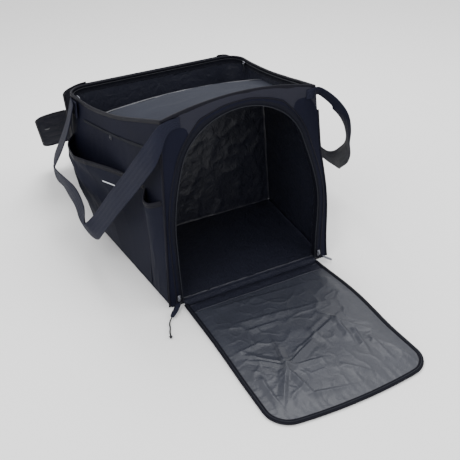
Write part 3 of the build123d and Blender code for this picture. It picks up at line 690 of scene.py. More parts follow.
def make_front():
    count = 150
    opening = flat_spaced(arch_line(0), count)
    edge = flat_spaced(front_edge_line(), count)
    outer, inner = [], []
    for a, b in zip(opening, edge):
        column_out, column_in = [], []
        for t in np.linspace(0, 1, 9):
            x, z = a + (b - a) * t
            swollen = 1.2 * math.sin(math.pi * t) + 0.7 * bump((x, 0, z), 40, 2.0) * math.sin(math.pi * t)
            column_out.append((x, FRONT_Y - 0.2 - swollen, z))
            column_in.append((x, SIDE_Y, z))
        outer.append(column_out)
        inner.append(column_in)
    panel = cloth("front_panel", outer, inner, [outer_cloth, dark_lining], flip=True)
    place(panel, "shell", "shell_fabric", "front_frame")

    # lighter band along the top of the front, between the zip and the rim
    zip_line = arch_line(ZIP_TAPE + 2)
    zip_line = zip_line[zip_line[:, 1] > 300]
    outer, inner = [], []
    for x in np.linspace(-FRONT_TOP_HALF, FRONT_TOP_HALF, 110):
        high = crown_height(x) - 0.6
        low = float(np.interp(x, zip_line[:, 0], zip_line[:, 1]))
        low = max(low, min(yoke_low(x), high - 8))
        rows = []
        for t in np.linspace(0, 1, 10):
            z = low + (high - low) * t
            pad = 1.1 * math.sin(math.pi * t) ** 0.7 + 0.5 * bump((x, 9, z), 34, 6.0)
            rows.append((x, FRONT_Y - 1.0 - pad, z))
        outer.append(rows)
        inner.append([(x, FRONT_Y - 0.3, z) for x, _, z in rows])
    yoke = cloth("yoke_band", outer, inner, [yoke_cloth], flip=True)
    place(yoke, "shell", "yoke_fabric", "front_yoke")


def arch_path(grow, y, step, wave=0.0):
    """Path along the arch, on the plane at y; wave is how far it wanders."""
    points = spaced([(x, y, z) for x, z in arch_line(grow)], step)
    if wave:
        for p in points:
            p[1] += wave * bump(p, 25.0, 4.0)
            p[0] += 0.5 * wave * bump(p, 25.0, 9.0)
    return points


def coil_scale(count):
    """Alternating thick and thin rings, which read as a zip's coil."""
    return np.where(np.arange(count) % 2 == 0, 1.0, 0.62)


def make_arch_zip():
    # tape: a flat ring on the face and a puckered lip that turns into the opening
    count = 420
    ring = flat_spaced(arch_line(ZIP_TAPE), count)
    mouth = flat_spaced(arch_line(0), count)
    outer, inner = [], []
    for k, (a, b) in enumerate(zip(ring, mouth)):
        pucker = math.sin(k * 1.9) * 0.5 + 0.5 * math.sin(k * 0.83)
        middle = ((a[0] + b[0]) / 2, FRONT_Y - 1.3 - 0.3 * pucker, (a[1] + b[1]) / 2)
        rows = [(a[0], FRONT_Y - 0.6, a[1]), middle, (b[0], FRONT_Y - 1.0, b[1])]
        inward = np.array([0.0, 160.0]) - b
        inward = inward / np.linalg.norm(inward)
        for depth, shrink in ((4, 0.8), (11, 1.2), (18, 0.6)):
            shift = shrink + 0.9 * pucker * depth / 11 + 1.0 * bump((b[0], depth, b[1]), 16, 7)
            x, z = b + inward * shift
            rows.append((x, FRONT_Y + depth, z))
        outer.append(rows)
        rows_in = [(x, y + 0.8, z) for x, y, z in rows[:2]]
        rows_in += [(x - inward[0] * 0.9, y + 0.6, z - inward[1] * 0.9) for x, y, z in rows[2:]]
        inner.append(rows_in)
    tape = cloth("arch_tape", outer, inner, [tape_cloth])
    place(tape, "shell", "zip_tape", "arch_zip_tape")
    path = arch_path(-1.2, FRONT_Y - 1.0, COIL_STEP)
    coil = sweep("arch_coil", path, (0, -1, 0), circle(1.5, 6), teeth_plastic, scale=coil_scale(len(path)))
    place(coil, "shell", "zip_teeth", "arch_zip_teeth")
    path = arch_path(ZIP_TAPE + 1.5, FRONT_Y - 0.7, 6, 0.4)
    place(sweep("arch_piping", path, (0, -1, 0), circle(2.0, 10), binding_cloth), "shell", "binding")


def make_corner_piping():
    for side, word in SIDES:
        path = []
        for z in np.linspace(BASE + 1, 378, 64):
            half = side_half(side, SIDE_Y, z) + 2.0 + 0.4 * bump((side, 0, z), 40)
            path.append((side * half, FRONT_Y - 0.2, z))
        piping = sweep(f"{word}_corner_cord", path, (0, -1, 0), circle(2.2, 10), binding_cloth)
        place(piping, "shell", "binding", f"{word}_corner_piping")


def rim_path(step, inset=0.0, drop=0.0, wave=0.0):
    """Closed path along the top rim, pulled in and down."""
    points = []
    for station in perimeter(14.0):
        top = station_top(station)
        spot, away = station_point(station, top)
        points.append(spot - away * inset - np.array([0, 0, drop]))
    for x in np.linspace(FRONT_TOP_HALF - 2, 2 - FRONT_TOP_HALF, 40):
        points.append(np.array([x * (1 - inset / FRONT_TOP_HALF), FRONT_Y + inset, crown_height(x) - drop]))
    points = spaced(points, step, closed=True)
    for p in points:
        p[0] += wave * bump(p, 60, 2.5)
        p[2] += 0.8 * wave * bump(p, 80, 6.5)
    return points


def make_rim():
    path = rim_path(4.0, 1.5, -0.6, 0.9)
    section = [(-2.9, -5.5), (-2.9, 0.6), (-1.9, 2.2), (0, 2.8)]
    section += [(1.9, 2.2), (2.9, 0.6), (2.9, -5.5), (0, -6.0)]
    binding = sweep("rim_edge_binding", path, (0, 0, 1), section, binding_cloth, closed=True)
    place(binding, "shell", "binding", "rim_binding")
    # puckered zip tape hanging inside the rim
    path = rim_path(4.0, CLOTH + 1.2, 1.0)
    outer, inner = [], []
    for k, p in enumerate(path):
        away = np.array([-p[0], -p[1] + 40, 0.0])
        away = away / np.linalg.norm(away)
        pucker = math.sin(k * 1.7) + 0.7 * math.sin(k * 0.61)
        rows = []
        for depth in (0, 5, 10, 15):
            lean = 0.3 + depth / 15 * (1.2 + 0.9 * pucker)
            rows.append(p + away * lean - np.array([0, 0, depth]))
        outer.append(rows)
        inner.append([q - away * 0.8 for q in rows])
    tape = cloth("rim_tape", outer, inner, [tape_cloth], closed=True)
    place(tape, "shell", "zip_tape", "rim_zip_tape")
    path = rim_path(COIL_STEP, CLOTH + 3.4, 4.2)
    path = path[: len(path) // 2 * 2]
    scale = coil_scale(len(path))
    coil = sweep("rim_coil", path, (0, 0, 1), circle(1.3, 6), teeth_plastic, closed=True, scale=scale)
    place(coil, "shell", "zip_teeth", "rim_zip_teeth")


def make_dividers():
    """Padded roof over the boots and the padded wall behind them."""
    front_edge, front_crown, rear_edge, rear_crown = 392, 428, 350, 366
    ys = np.linspace(SIDE_Y + 2.2, DIVIDER_Y + 3, 46)
    outer, inner = [], []
    for y in ys:
        share = (y - SIDE_Y) / (DIVIDER_Y - SIDE_Y)
        edge = front_edge + (rear_edge - front_edge) * share
        crown = front_crown + (rear_crown - front_crown) * share
        half = half_width(y, edge) - CLOTH - 2.0
        up, down = [], []
        for t in np.linspace(-1, 1, 60):
            x = half * t
            z = edge + (crown - edge) * (1 - t * t)
            quilt = 3.0 * (1 - t**8) * (1 - (2 * share - 1) ** 8) if share < 1 else 0
            rough = 1.6 * bump((x, y, 0), 55, 3.3) + 1.4 * crease((x, y, 0), 70, 1.2)
            up.append((x, y, z + (quilt + rough) * (1 - t**6) - 1.5))
            under = 2.4 * crease((x, y, 0), 46, 6.6, 6) + 1.2 * bump((x, y, 0), 24, 1.6)
            down.append((x, y, z - 6.0 - under))
        outer.append(up)
        inner.append(down)
    roof = cloth("roof_pad", outer, inner, [grey_pad, dark_lining], flip=True)
    place(roof, "shell", "grey_padding", "divider_roof")
    outer, inner = [], []
    for t in np.linspace(-1, 1, 70):
        front, rear = [], []
        for share in np.linspace(0, 1, 60):
            z = 7 + (350 - 7 + 15 * (1 - t * t)) * share
            x = t * (half_width(DIVIDER_Y, z) - CLOTH - 2)
            pad = 2.2 * (1 - t**6) * math.sin(math.pi * share) ** 0.5
            crumple = 2.6 * crease((x, 0, z), 60, 2.9, 6) + 1.6 * crease((x, 0, z), 34, 6.1, 6)
            front.append((x, DIVIDER_Y - pad - crumple, z))
            rear.append((x, DIVIDER_Y + 6 + pad + 1.2 * crease((x, 0, z), 60, 5.9), z))
        outer.append(front)
        inner.append(rear)
    wall = cloth("divider_pad", outer, inner, [dark_lining, grey_pad])
    place(wall, "shell", "grey_padding", "divider_wall")


# ---------------------------------------------------------------- side pockets
def fan_folds(y, z):
    """Folds that fan out over a slip pocket from the rear end of its mouth."""
    angle = math.atan2(z - 300, y - 240)
    reach = math.hypot(z - 300, y - 240)
    ripple = math.sin(angle * 17 + 0.8 * bump((y, z, 0), 90, 3.0))
    return 3.4 * ripple * ramp(50, 130, reach) * (1 - ramp(230, 330, reach))


def pocket_point(side, span, share, level, top, gape, droop, wrinkle):
    """Outer surface of a pocket: share runs from its front edge to its rear, level from foot to mouth."""
    y = span[0] + (span[1] - span[0]) * share
    # the stuffed slip pocket bellies out towards its rear end
    belly = math.sin(math.pi * share ** (2.0 if wrinkle else 1.0))
    z = POCKET_FOOT + (top - POCKET_FOOT) * level - droop * belly * level**3
    out = 2.0 + (1 + gape * level**0.9) * belly
    edge = ramp(0, 0.08, share) * (1 - ramp(0.93, 1.0, share))
    spot = np.array([side * side_half(side, y, z), y, z])
    out += wrinkle * edge * (0.5 + 0.5 * level) * fan_folds(y, z)
    out += (1.6 * bump(spot, 48, 4.0) + 2.0 * crease(spot * np.array([1, 1, 0.5]), 46, 2.3)) * belly
    return spot + np.array([side * out, 0, 0])


def make_pocket(word, side, span, top, gape, droop, wrinkle, name, nodes, rows=90):
    """Bowed pocket cloth with a bound, sagging mouth."""
    outer, inner, mouth = [], [], []
    levels = np.linspace(0, 1, 44)
    for share in np.linspace(0, 1, rows):
        column = [pocket_point(side, span, share, level, top, gape, droop, wrinkle) for level in levels]
        outer.append(column)
        inner.append([p - np.array([side * 1.8, 0, 0]) for p in column])
        mouth.append(column[-1])
    piece = cloth(f"{word}_{name}_cloth", outer, inner, [pocket_cloth], flip=side > 0)
    place(piece, "shell", "shell_fabric", nodes[0])
    mouth = spaced(mouth, 4.0) + np.array([-side * 0.9, 0, 4.5])
    section = [(-1.8, -5.5), (-2.0, 3.0), (-1.2, 5.2), (0, 5.8), (1.2, 5.2), (2.0, 3.0), (1.8, -5.5)]
    hem = sweep(f"{word}_{name}_hem", mouth, (0, 0, 1), section, binding_cloth)
    place(hem, "shell", "binding", *nodes[1:])
    return mouth + np.array([side * 2.4, 0, -3.4])


def make_pockets():
    lines = []
    for side, word in SIDES:
        facing = (side, 0, 0)
        names = [f"{word}_pocket", f"{word}_pocket_hem"]
        line = make_pocket(word, side, *SLIP_POCKET, "slip", names)
        lines.append((line, facing))
        names = [f"{word}_small_pocket"] + (["small_pocket_hems"] if side < 0 else [])
        line = make_pocket(word, side, *SMALL_POCKET, "case", names, 40)
        lines.append((line, facing))
    place(stitches("pocket_stitching", lines), "shell", "shell_fabric")
    for side, word in SIDES:
        points = []
        for t in np.linspace(0, 1, 60):
            y = SEAM_Y + SEAM_RUN * t
            z = SEAM_Z - SEAM_FALL * t - SEAM_SAG * math.sin(math.pi * t)
            spot = np.array([side * side_half(side, y, z), y, z])
            points.append(spot + np.array([side * (1.2 + sag(spot, z / rim_height(y))), 0, 0]))
        tape = sweep(f"{word}_seam_tape", points, (side, 0, 0), strap_section(7, 1.2), grey_tape)
        place(tape, "shell", "grey_tape", *(["pocket_seam_tapes"] if side < 0 else []))
    # short reflective bar sewn to the left pocket
    bar = []
    for share in np.linspace(0.44, 0.32, 12):
        at = pocket_point(-1, SLIP_POCKET[0], share, 0.86, *SLIP_POCKET[1:])
        bar.append(at + np.array([-0.7, 0, 0]))
    bar = sweep("left_reflective_bar", bar, (-1, 0, 0), strap_section(3.0, 0.8), reflective)
    place(bar, "shell", "grey_tape")


# ---------------------------------------------------------------- front door
def door_point(u, v, grow=0.0):
    """Plan of the door: u from -1 to 1 across, v from 0 at the hinge to 1 at the far edge."""
    length = DOOR_LENGTH - DOOR_START + grow
    run = v * length
    half = DOOR_HALF + grow - corner_cut(length - run, DOOR_CORNER + grow)
    bow = DOOR_BOW * (1 - u * u) * ramp(0.6, 1.0, v)
    drift = 8 * math.sin(math.pi * min(1, v / 0.7)) ** 1.5 * (0.62 + 0.38 * u)
    return half * u + drift, DOOR_PIVOT_Y - DOOR_START - run - bow


def door_edge(grow, step):
    """Path round the door's three free sides."""
    vs = np.concatenate([np.linspace(0, 0.86, 20), 1 - np.linspace(0.14, 0, 24)[1:]])
    points = [(*door_point(-1, v, grow), 0) for v in vs]
    points += [(*door_point(u, 1, grow), 0) for u in np.linspace(-1, 1, 24)[1:-1]]
    points += [(*door_point(1, v, grow), 0) for v in vs[::-1]]
    return spaced(points, step)


CREASES = [
    # start, end, height and width of the sharp folds that star out from pinched spots, on the door's plan
    ((-80, -559), (-60, -463), 7.5, 10), ((-80, -559), (9, -512), 7.0, 10),
    ((-80, -559), (-132, -508), 6.0, 9), ((-78, -544), (-152, -474), 4.0, 9),
    ((-82, -563), (-132, -644), 6.0, 10), ((-79, -570), (-70, -651), 6.0, 9),
    ((-69, -560), (4, -569), 4.0, 9), ((-36, -523), (104, -464), 3.6, 10), ((83, -484), (62, -440), 6.0, 9),
    ((83, -484), (76, -554), 6.0, 9), ((83, -484), (132, -544), 5.5, 9), ((97, -523), (84, -598), 4.0, 8),
    ((111, -562), (114, -632), 3.6, 8), ((-154, -478), (-79, -464), 3.4, 9),
    ((-136, -564), (-137, -650), 3.6, 9), ((-88, -422), (-18, -424), 2.6, 10),
    ((-96, -392), (103, -415), 2.6, 14), ((-70, -640), (43, -662), 3.0, 9),
    ((20, -600), (60, -650), 2.6, 9), ((-120, -320), (110, -338), 2.2, 13), ((20, -480), (30, -540), 2.8, 9),
]


def fold_height(x, y):
    """Height of the lining's sharp folds at a point."""
    total = 0.0
    for (x0, y0), (x1, y1), tall, wide in CREASES:
        dx, dy = x1 - x0, y1 - y0
        t = ((x - x0) * dx + (y - y0) * dy) / (dx * dx + dy * dy)
        if -0.15 < t < 1.25:
            wander = 2.2 * bump((x, y, 0), 40, x0 * 0.1)
            away = ((x - x0) * dy - (y - y0) * dx) / math.hypot(dx, dy) + wander
            fade = ramp(-0.15, 0.08, t) * (1 - ramp(0.45, 1.25, t))
            # one flank is steeper than the other, as in a fold that leans over
            flank = wide * (1.5 if away > 0 else 0.55)
            total += tall * fade * max(0.0, 1 - abs(away) / flank) ** 1.15
    return total


def lining_height(x, y, u, v):
    """Door lining above its tape: a soft pillow with folds, puckers along the edges and crumples."""
    edge = min(1 - abs(u), (1 - v) * 1.2) * DOOR_HALF
    near = ramp(5, 30, edge) * ramp(0.0, 0.05, v)
    pucker = 0.0
    if edge < 30:
        along = y if 1 - abs(u) < (1 - v) * 1.2 else x
        ridges = bump((along * 1.6, edge * 0.25, 7), 13, 2.0) + bump((along * 2.4, edge * 0.3, 5), 24, 3.0)
        pucker = 0.4 * ridges * (1 - ramp(8, 30, edge))
    swollen = 3.6 + 3.0 * bump((x, y, 0), 120, 1.4) + 1.2 * bump((x, y, 0), 52, 6.2)
    crumple = 1.5 * crease((x, y, 0), 70, 2.7, 7) + 0.9 * crease((x, y, 0), 34, 7.7, 7)
    return near * (swollen + crumple + fold_height(x, y)) + ramp(0, 6, edge) * pucker


def door_sheet(name, us, vs, grow, heights, material):
    """Cloth over the door's plan; heights gives its top and its underside at a point."""
    top, under = [], []
    for v in vs:
        spots = [(*door_point(u, v, grow), u) for u in us]
        levels = [heights(x, y, u, v) for x, y, u in spots]
        top.append([(x, y, high) for (x, y, _), (high, _) in zip(spots, levels)])
        under.append([(x, y, low) for (x, y, _), (_, low) in zip(spots, levels)])
    return cloth(name, top, under, [material])


def door_lining(name, v_low, v_high, rows, material):
    """Stretch of the door's lining between two shares of its length."""
    rim = np.linspace(0.94, 1, 6)
    us = np.concatenate([np.linspace(-1, -0.94, 6), np.linspace(-0.94, 0.94, 150)[1:-1], rim])
    def heights(x, y, u, v):
        return DOOR_TOP - 0.4 + lining_height(x, y, u, v), DOOR_TOP - 1.6

    return door_sheet(name, us, v_low + (v_high - v_low) * rows, -5.6, heights, material)


def make_door():
    seam_share = DOOR_SEAM / (DOOR_LENGTH - DOOR_START)
    rows = np.concatenate([np.linspace(0, 0.87, 160), 1 - np.linspace(0.13, 0, 30)[1:]])
    lining = door_lining("door_lining_cloth", seam_share, 1, rows, door_coat)
    place(lining, "door", "lining", "door_lining")
    hem = door_lining("door_hem_cloth", 0, seam_share, np.linspace(0, 1, 16), dark_lining)
    place(hem, "door", "lining")

    def outer_heights(x, y, u, _):
        return 3.8, 0.2 + 0.8 * abs(bump((x, y, 0), 70, 9)) * (1 - abs(u) ** 6)

    panel = door_sheet("door_outer_cloth", np.linspace(-1, 1, 54), rows[::3], 0, outer_heights, outer_cloth)
    place(panel, "door", "shell_fabric", "door_panel")
    # zip tape ring, edge binding and the ridge between tape and lining
    for name, grow, z, section, material, finish in (
        ("door_tape", -2.8, 5.3, strap_section(7, 1.3), tape_cloth, ("zip_tape", "door_zip_tape")),
        ("door_edge_binding", -0.4, 3.2, circle(2.5, 12), binding_cloth, ("binding", "door_binding")),
        ("door_inner_ridge", -6.4, 5.2, circle(1.3, 8), binding_cloth, ("binding",)),
    ):
        path = door_edge(grow, 5)
        for p in path:
            p[2] = z + 0.35 * bump(p, 22, grow)
        place(sweep(name, path, (0, 0, 1), section, material), "door", *finish)
    path = door_edge(-2.6, COIL_STEP)
    path[:, 2] = 5.8
    coil = sweep("door_coil", path, (0, 0, 1), circle(1.2, 6), teeth_plastic, scale=coil_scale(len(path)))
    place(coil, "door", "zip_teeth", "door_zip_teeth")
    line = door_edge(-4.8, 5)
    line[:, 2] = 6.2
    place(stitches("door_stitching", [(line, (0, 0, 1))]), "door", "lining")
    # seam across the door near the hinge
    seam = []
    for x in np.linspace(-156, 156, 90):
        y = DOOR_PIVOT_Y - DOOR_START - DOOR_SEAM + 1.2 * bump((x, 0, 0), 50)
        u, v = x / DOOR_HALF, (DOOR_PIVOT_Y - DOOR_START - y) / (DOOR_LENGTH - DOOR_START)
        seam.append((x, y, DOOR_TOP + 0.1 + lining_height(x, y, u, v)))
    seam = np.array(seam)
    strip = sweep("door_seam_strip", seam, (0, 0, 1), strap_section(5, 1.2), dark_lining)
    place(strip, "door", "lining", "door_seam")
    line = seam + np.array([0, 0, 0.7])
    place(stitches("door_seam_stitching", [(line, (0, 0, 1))]), "door", "lining")
    # cloth that bridges the hinge
    steps = ((14, 7.2), (3, 8.6), (-2.5, 8.2), (-6.6, 6.4), (-12, 5.9), (-20, 6.2))
    outer, inner = [], []
    for x in np.linspace(-DOOR_HALF + 1, DOOR_HALF - 1, 80):
        column = [(x, FRONT_Y + past, z + 0.6 * bump((x, FRONT_Y + past, 0), 20, 2)) for past, z in steps]
        outer.append(column)
        inner.append([(x, y, z - 1.4) for x, y, z in column])
    hinge = cloth("door_hinge_cloth", outer, inner, [dark_lining], flip=True)
    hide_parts("door_hinge_tape")
    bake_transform(hinge)


# ---------------------------------------------------------------- lid and its wings
LEVEL = Vector((0, math.sin(LID_DROP), math.cos(LID_DROP)))
ALONG = Vector((0, math.cos(LID_DROP), -math.sin(LID_DROP)))


def on_lid(x, along, level):
    """Point on the thrown-back lid: along runs from the pivot, level rises from the lining side."""
    return LID_PIVOT + Vector((x, 0, 0)) + ALONG * along + LEVEL * level


def lid_half(along, grow=0.0):
    """Half width of the lid, its corners rounded."""
    if along < LID_BEND:
        return REAR_HALF + grow - corner_cut(along - LID_START, LID_REAR_CORNER)
    share = (along - LID_BEND) / (LID_LENGTH - LID_BEND)
    half = REAR_HALF + (LID_FRONT_HALF - REAR_HALF) * share + grow
    return half - corner_cut(LID_LENGTH + grow - along, LID_FRONT_CORNER)


def lid_edge(grow, step, level):
    """Path round the lid's free edge."""
    straight = np.linspace(LID_BEND, LID_LENGTH - LID_ROUND, 30)[1:]
    last = LID_LENGTH + grow - np.linspace(LID_ROUND, 0, 14)
    alongs = np.concatenate([np.linspace(LID_START, LID_BEND, 20), straight, last])
    half = [(-lid_half(a, grow), a) for a in alongs]
    line = half + [(-x, a) for x, a in half[::-1]]
    points = spaced([(x, a, 0) for x, a in line], step)
    return np.array([on_lid(x, a, level + 0.5 * bump((x, a, 0), 40, 3)) for x, a, _ in points])


def make_lid():
    straight = np.linspace(LID_BEND, LID_LENGTH - LID_ROUND, 50)[1:]
    last = LID_LENGTH - np.linspace(LID_ROUND, 0, 10)[1:]
    grids = ([], [], [], [])
    for along in np.concatenate([np.linspace(LID_START, LID_BEND, 14), straight, last]):
        share = (along - LID_START) / (LID_LENGTH - LID_START)
        rows = ([], [], [], [])
        for t in np.linspace(-1, 1, 64):
            half = lid_half(along)
            inner = max(half - ZIP_TAPE, 10)
            near = min(max(along, LID_START + ZIP_TAPE * 0.6), LID_LENGTH - ZIP_TAPE)
            x = t * half
            swell = (1 - t**4) * math.sin(math.pi * min(1, max(0, share))) ** 0.6
            wrinkle = 1.5 * crease((x, along, 0), 80, 4.4) + 1.4 * bump((x, along, 0), 90, 2.2)
            rows[0].append(on_lid(x, along, -0.3))
            rows[1].append(on_lid(x, along, -CLOTH - swell * (1.5 + wrinkle)))
            rough = 1.6 * crease((x, along, 5), 55, 8.1, 5) + 1.2 * bump((x, along, 5), 60, 5.2)
            lift = swell * (2.0 + rough)
            rows[2].append(on_lid(t * inner, near, 1.0 + lift))
            rows[3].append(on_lid(t * inner, near, 0.0))
        for grid, row in zip(grids, rows):
            grid.append(row)
    panel_top, panel_under, lining_top, lining_under = grids
    panel = cloth("lid_outer_pad", panel_under, panel_top, [outer_cloth])
    place(panel, "lid", "shell_fabric", "lid_panel")
    lining = cloth("lid_lining_cloth", lining_top, lining_under, [dark_lining], flip=True)
    place(lining, "lid", "lining", "lid_lining")
    tape = sweep("lid_tape", lid_edge(-6.5, 5, 0.6), tuple(LEVEL), strap_section(13, 1.2), tape_cloth)
    place(tape, "lid", "zip_tape", "lid_zip_tape")
    edge = sweep("lid_edge_binding", lid_edge(0.4, 5, -0.9), tuple(LEVEL), circle(2.6, 12), binding_cloth)
    place(edge, "lid", "binding", "lid_binding")
    path = lid_edge(-2.0, COIL_STEP, 1.6)
    coil = sweep("lid_coil", path, tuple(LEVEL), circle(1.0, 6), teeth_plastic, scale=coil_scale(len(path)))
    place(coil, "lid", "zip_teeth")
    # cloth hinge from the rear wall, over the rim, to the lid
    outer, inner = [], []
    reach = REAR_HALF - REAR_CORNER
    for x in np.linspace(-reach, reach, 70):
        rows = []
        for past, drop in ((1.4, 20), (1.8, 8), (2.6, 0)):
            z = REAR_HEIGHT - drop
            rows.append((x, REAR_Y + past + 0.4 * bump((x, 0, z), 30), z))
        for along in (4, 10, 18):
            rows.append(tuple(on_lid(x, along, -CLOTH - 1.0)))
        outer.append(rows)
        inner.append([(x, y - 0.9, z - 0.3) for x, y, z in rows])
    hinge = cloth("lid_hinge_cloth", outer, inner, [binding_cloth], flip=True)
    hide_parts("lid_hinge_tape")
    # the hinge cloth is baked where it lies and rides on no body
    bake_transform(hinge)


def wing_frame(side):
    """Origin and directions of a wing: along the lid's edge, out from it, and up on the lining side."""
    binding = 3.0
    near = on_lid(side * (REAR_HALF + binding), LID_BEND, 0)
    far = on_lid(side * (LID_FRONT_HALF + binding), LID_LENGTH + binding, 0)
    along = (far - near).normalized()
    out = LEVEL.cross(along).normalized()
    if out.x * side < 0:
        out = -out
    return near, along, out


def wing_outline(grow):
    """Outline of a wing from its inner start corner round to its inner end corner, as (along, out)."""
    start, end = WING_START - LID_BEND - grow, WING_END - LID_BEND + grow
    high, corner = WING_REACH + grow, WING_CORNER + grow
    points = [(start, WING_GAP)]
    for centre, first in ((start + corner, 180), (end - corner, 90)):
        for turn in np.radians(np.linspace(first, first - 90, 9)):
            points.append((centre + corner * math.cos(turn), high - corner + corner * math.sin(turn)))
    return points + [(end, WING_GAP)]


def make_wing(side, word):
    origin, along, out = wing_frame(side)

    def on_wing(a, b, level):
        flop = -0.00025 * b * b + 1.5 * bump((a, b, side), 60, 2) * ramp(8, 40, b)
        return origin + along * a + out * b + LEVEL * (level + flop)

    def wing_line(grow, level):
        return [on_wing(a, b, level) for a, b, _ in spaced([(a, b, 0) for a, b in wing_outline(grow)], 4)]

    line = wing_outline(-1.0)
    outer, inner = [], []
    run = flat_spaced(line, 200)
    for a in np.linspace(line[0][0], line[-1][0], 60):
        near = [b for p, b in run if abs(p - a) < 4.0]
        reach = max(near) if near else WING_GAP
        column_top, column_under = [], []
        for t in np.linspace(0, 1, 26):
            b = WING_GAP + (reach - WING_GAP) * t
            fold = 1.4 * crease((a, b, side * 9), 48, 3.9) + 0.9 * bump((a, b, side * 9), 30, 1.9)
            hold = ramp(0, 0.2, t) * (1 - ramp(0.85, 1, t))
            column_top.append(on_wing(a, b, 0.5 + hold * fold))
            column_under.append(on_wing(a, b, -1.5 + hold * fold * 0.7))
        outer.append(column_top)
        inner.append(column_under)
    panel = cloth(f"{word}_wing_cloth", outer, inner, [outer_cloth], flip=side > 0)
    place(panel, f"{word}_wing", "shell_fabric", f"{word}_wing_panel")
    edge = sweep(f"{word}_wing_edge", wing_line(-1.2, -0.5), tuple(LEVEL), circle(2.4, 10), binding_cloth)
    place(edge, f"{word}_wing", "binding", f"{word}_wing_binding")
    rows = [(wing_line(-7, 0.9), tuple(LEVEL)), (wing_line(-7, -1.9), tuple(-LEVEL))]
    place(stitches(f"{word}_wing_stitching", rows), f"{word}_wing", "shell_fabric")
    centre = on_wing(SNAP_ALONG, SNAP_OUT, 0.4)
    profile = [(6.5, 0), (6.5, 0.8), (5.6, 1.5), (4.4, 1.5), (4.0, 0.9), (3.0, 0.8), (2.6, 1.2), (0.3, 1.3)]
    socket = lathe(f"{word}_wing_socket", profile, centre, LEVEL, gunmetal)
    place(socket, f"{word}_wing", "metal", f"{word}_wing_snap")
    centre = on_wing(SNAP_ALONG, SNAP_OUT, -1.4)
    profile = [(7.0, 0), (7.0, 0.6), (6.0, 1.3), (3.0, 1.9), (0.3, 2.1)]
    place(lathe(f"{word}_wing_cap", profile, centre, -LEVEL, gunmetal), f"{word}_wing", "metal")
    # cloth strip from the lid's edge to the wing
    steps = ((-8, 1.9), (-3, 1.6), (1, 0.9), (4, 1.0), (9, 1.2))
    outer, inner = [], []
    for a in np.linspace(WING_START - LID_BEND + 3, WING_END - LID_BEND - 3, 60):
        points = [origin + along * a + out * b + LEVEL * level for b, level in steps]
        outer.append(points)
        inner.append([p - LEVEL * 0.9 for p in points])
    strip = cloth(f"{word}_wing_hinge", outer, inner, [binding_cloth], flip=side > 0)
    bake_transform(strip)


# ---------------------------------------------------------------- webbing handles
def handle_frame(side, hang):
    """Origin and directions of a handle's plane: along between its ends, and hanging down and out."""
    front, rear = (Vector((side * x, y, z)) for x, y, z in (HANDLE_FRONT, HANDLE_REAR))
    along = (rear - front).normalized()
    fall = Vector((0, 0, -1))
    down = (fall - along * fall.dot(along)).normalized()
    outward = down.cross(along) * side
    tilt = math.radians(hang)
    hanging = down * math.cos(tilt) + outward * math.sin(tilt)
    return front, along, hanging


def smooth_rings(rings, step):
    """Rings of (low, high) edge points, made dense with a curve through them all."""
    rings = np.asarray(rings, float)
    ends = np.concatenate([[2 * rings[0] - rings[1]], rings, [2 * rings[-1] - rings[-2]]])
    dense = []
    for a, b, c, d in zip(ends, ends[1:], ends[2:], ends[3:]):
        count = max(2, int(np.linalg.norm(c - b, axis=-1).mean() / step))
        for t in np.linspace(0, 1, count, endpoint=False):
            bend, twist = 2 * a - 5 * b + 4 * c - d, 3 * b - a - 3 * c + d
            dense.append(0.5 * (2 * b + (c - a) * t + bend * t**2 + twist * t**3))
    return np.array(dense + [rings[-1]])


def ribbon(name, rings):
    """Webbing between two edge lines; each ring is (low edge, high edge)."""
    low, high = rings[:, 0], rings[:, 1]
    centre, half = (low + high) / 2, (high - low) / 2
    across = unit(half)
    normal = unit(np.cross(headings(centre), across))
    wide = np.linalg.norm(half, axis=-1)
    section = np.array(strap_section(2.0, 2 * STRAP_THICK / WEBBING, STRAP_RIBS))
    spots = section[None, :, :1] * (across * wide[:, None])[:, None]
    spots = centre[:, None] + spots + section[None, :, 1:] * normal[:, None] * WEBBING / 2
    faces = tube(*spots.shape[:2])
    round_it = lengths(np.vstack([section, section[:1]]))[:-1] * WEBBING / 2
    return make_mesh(name, spots.reshape(-1, 3), faces, webbing, grid_uvs(lengths(centre), round_it))


JOINT_FREE = 58.0          # run of strap that lies on the front and round the corner


def make_handle(word, side, hang, route, cut, twists, wrap, joins):
    """Strap wrapped over the front corner, then on its route in the handle's plane.

    twists are (share, degrees); the route is followed from joins mm along it.
    """
    front, along, hanging = handle_frame(side, hang)
    normal = along.cross(hanging) * side
    flat = spaced(rounded([(a, b, 0) for a, b in route], cut), 8.0)
    run = lengths(flat)
    share = run / run[-1]
    rings = [((side * x0, y0, z0), (side * x1, y1, z1)) for (x0, y0, z0), (x1, y1, z1) in wrap]
    for (a, b, _), (ta, tb, _), s, r in zip(flat, headings(flat), share, run):
        if r < joins:
            continue
        spot = front + along * a + hanging * b + normal * 1.5 * bump((a, b, side), 70, 3)
        turn = math.radians(np.interp(s, [p for p, _ in twists], [q for _, q in twists]))
        in_plane = along * -tb + hanging * ta
        # the lower edge of the strap's front leg is its front edge
        edge = in_plane * math.cos(turn) - normal * math.sin(turn)
        rings.append((spot + edge * WEBBING / 2, spot - edge * WEBBING / 2))
    rings = smooth_rings([[tuple(p) for p in ring] for ring in rings], 4.0)
    free = lengths(rings.mean(axis=1)) > JOINT_FREE
    for _ in range(12):
        eased = (rings[:-2] + rings[1:-1] * 2 + rings[2:]) / 4
        rings[1:-1][free[1:-1]] = eased[free[1:-1]]
    strap = ribbon(f"{word}_handle_strap", rings)
    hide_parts(f"{word}_handle_webbing")
    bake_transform(strap)


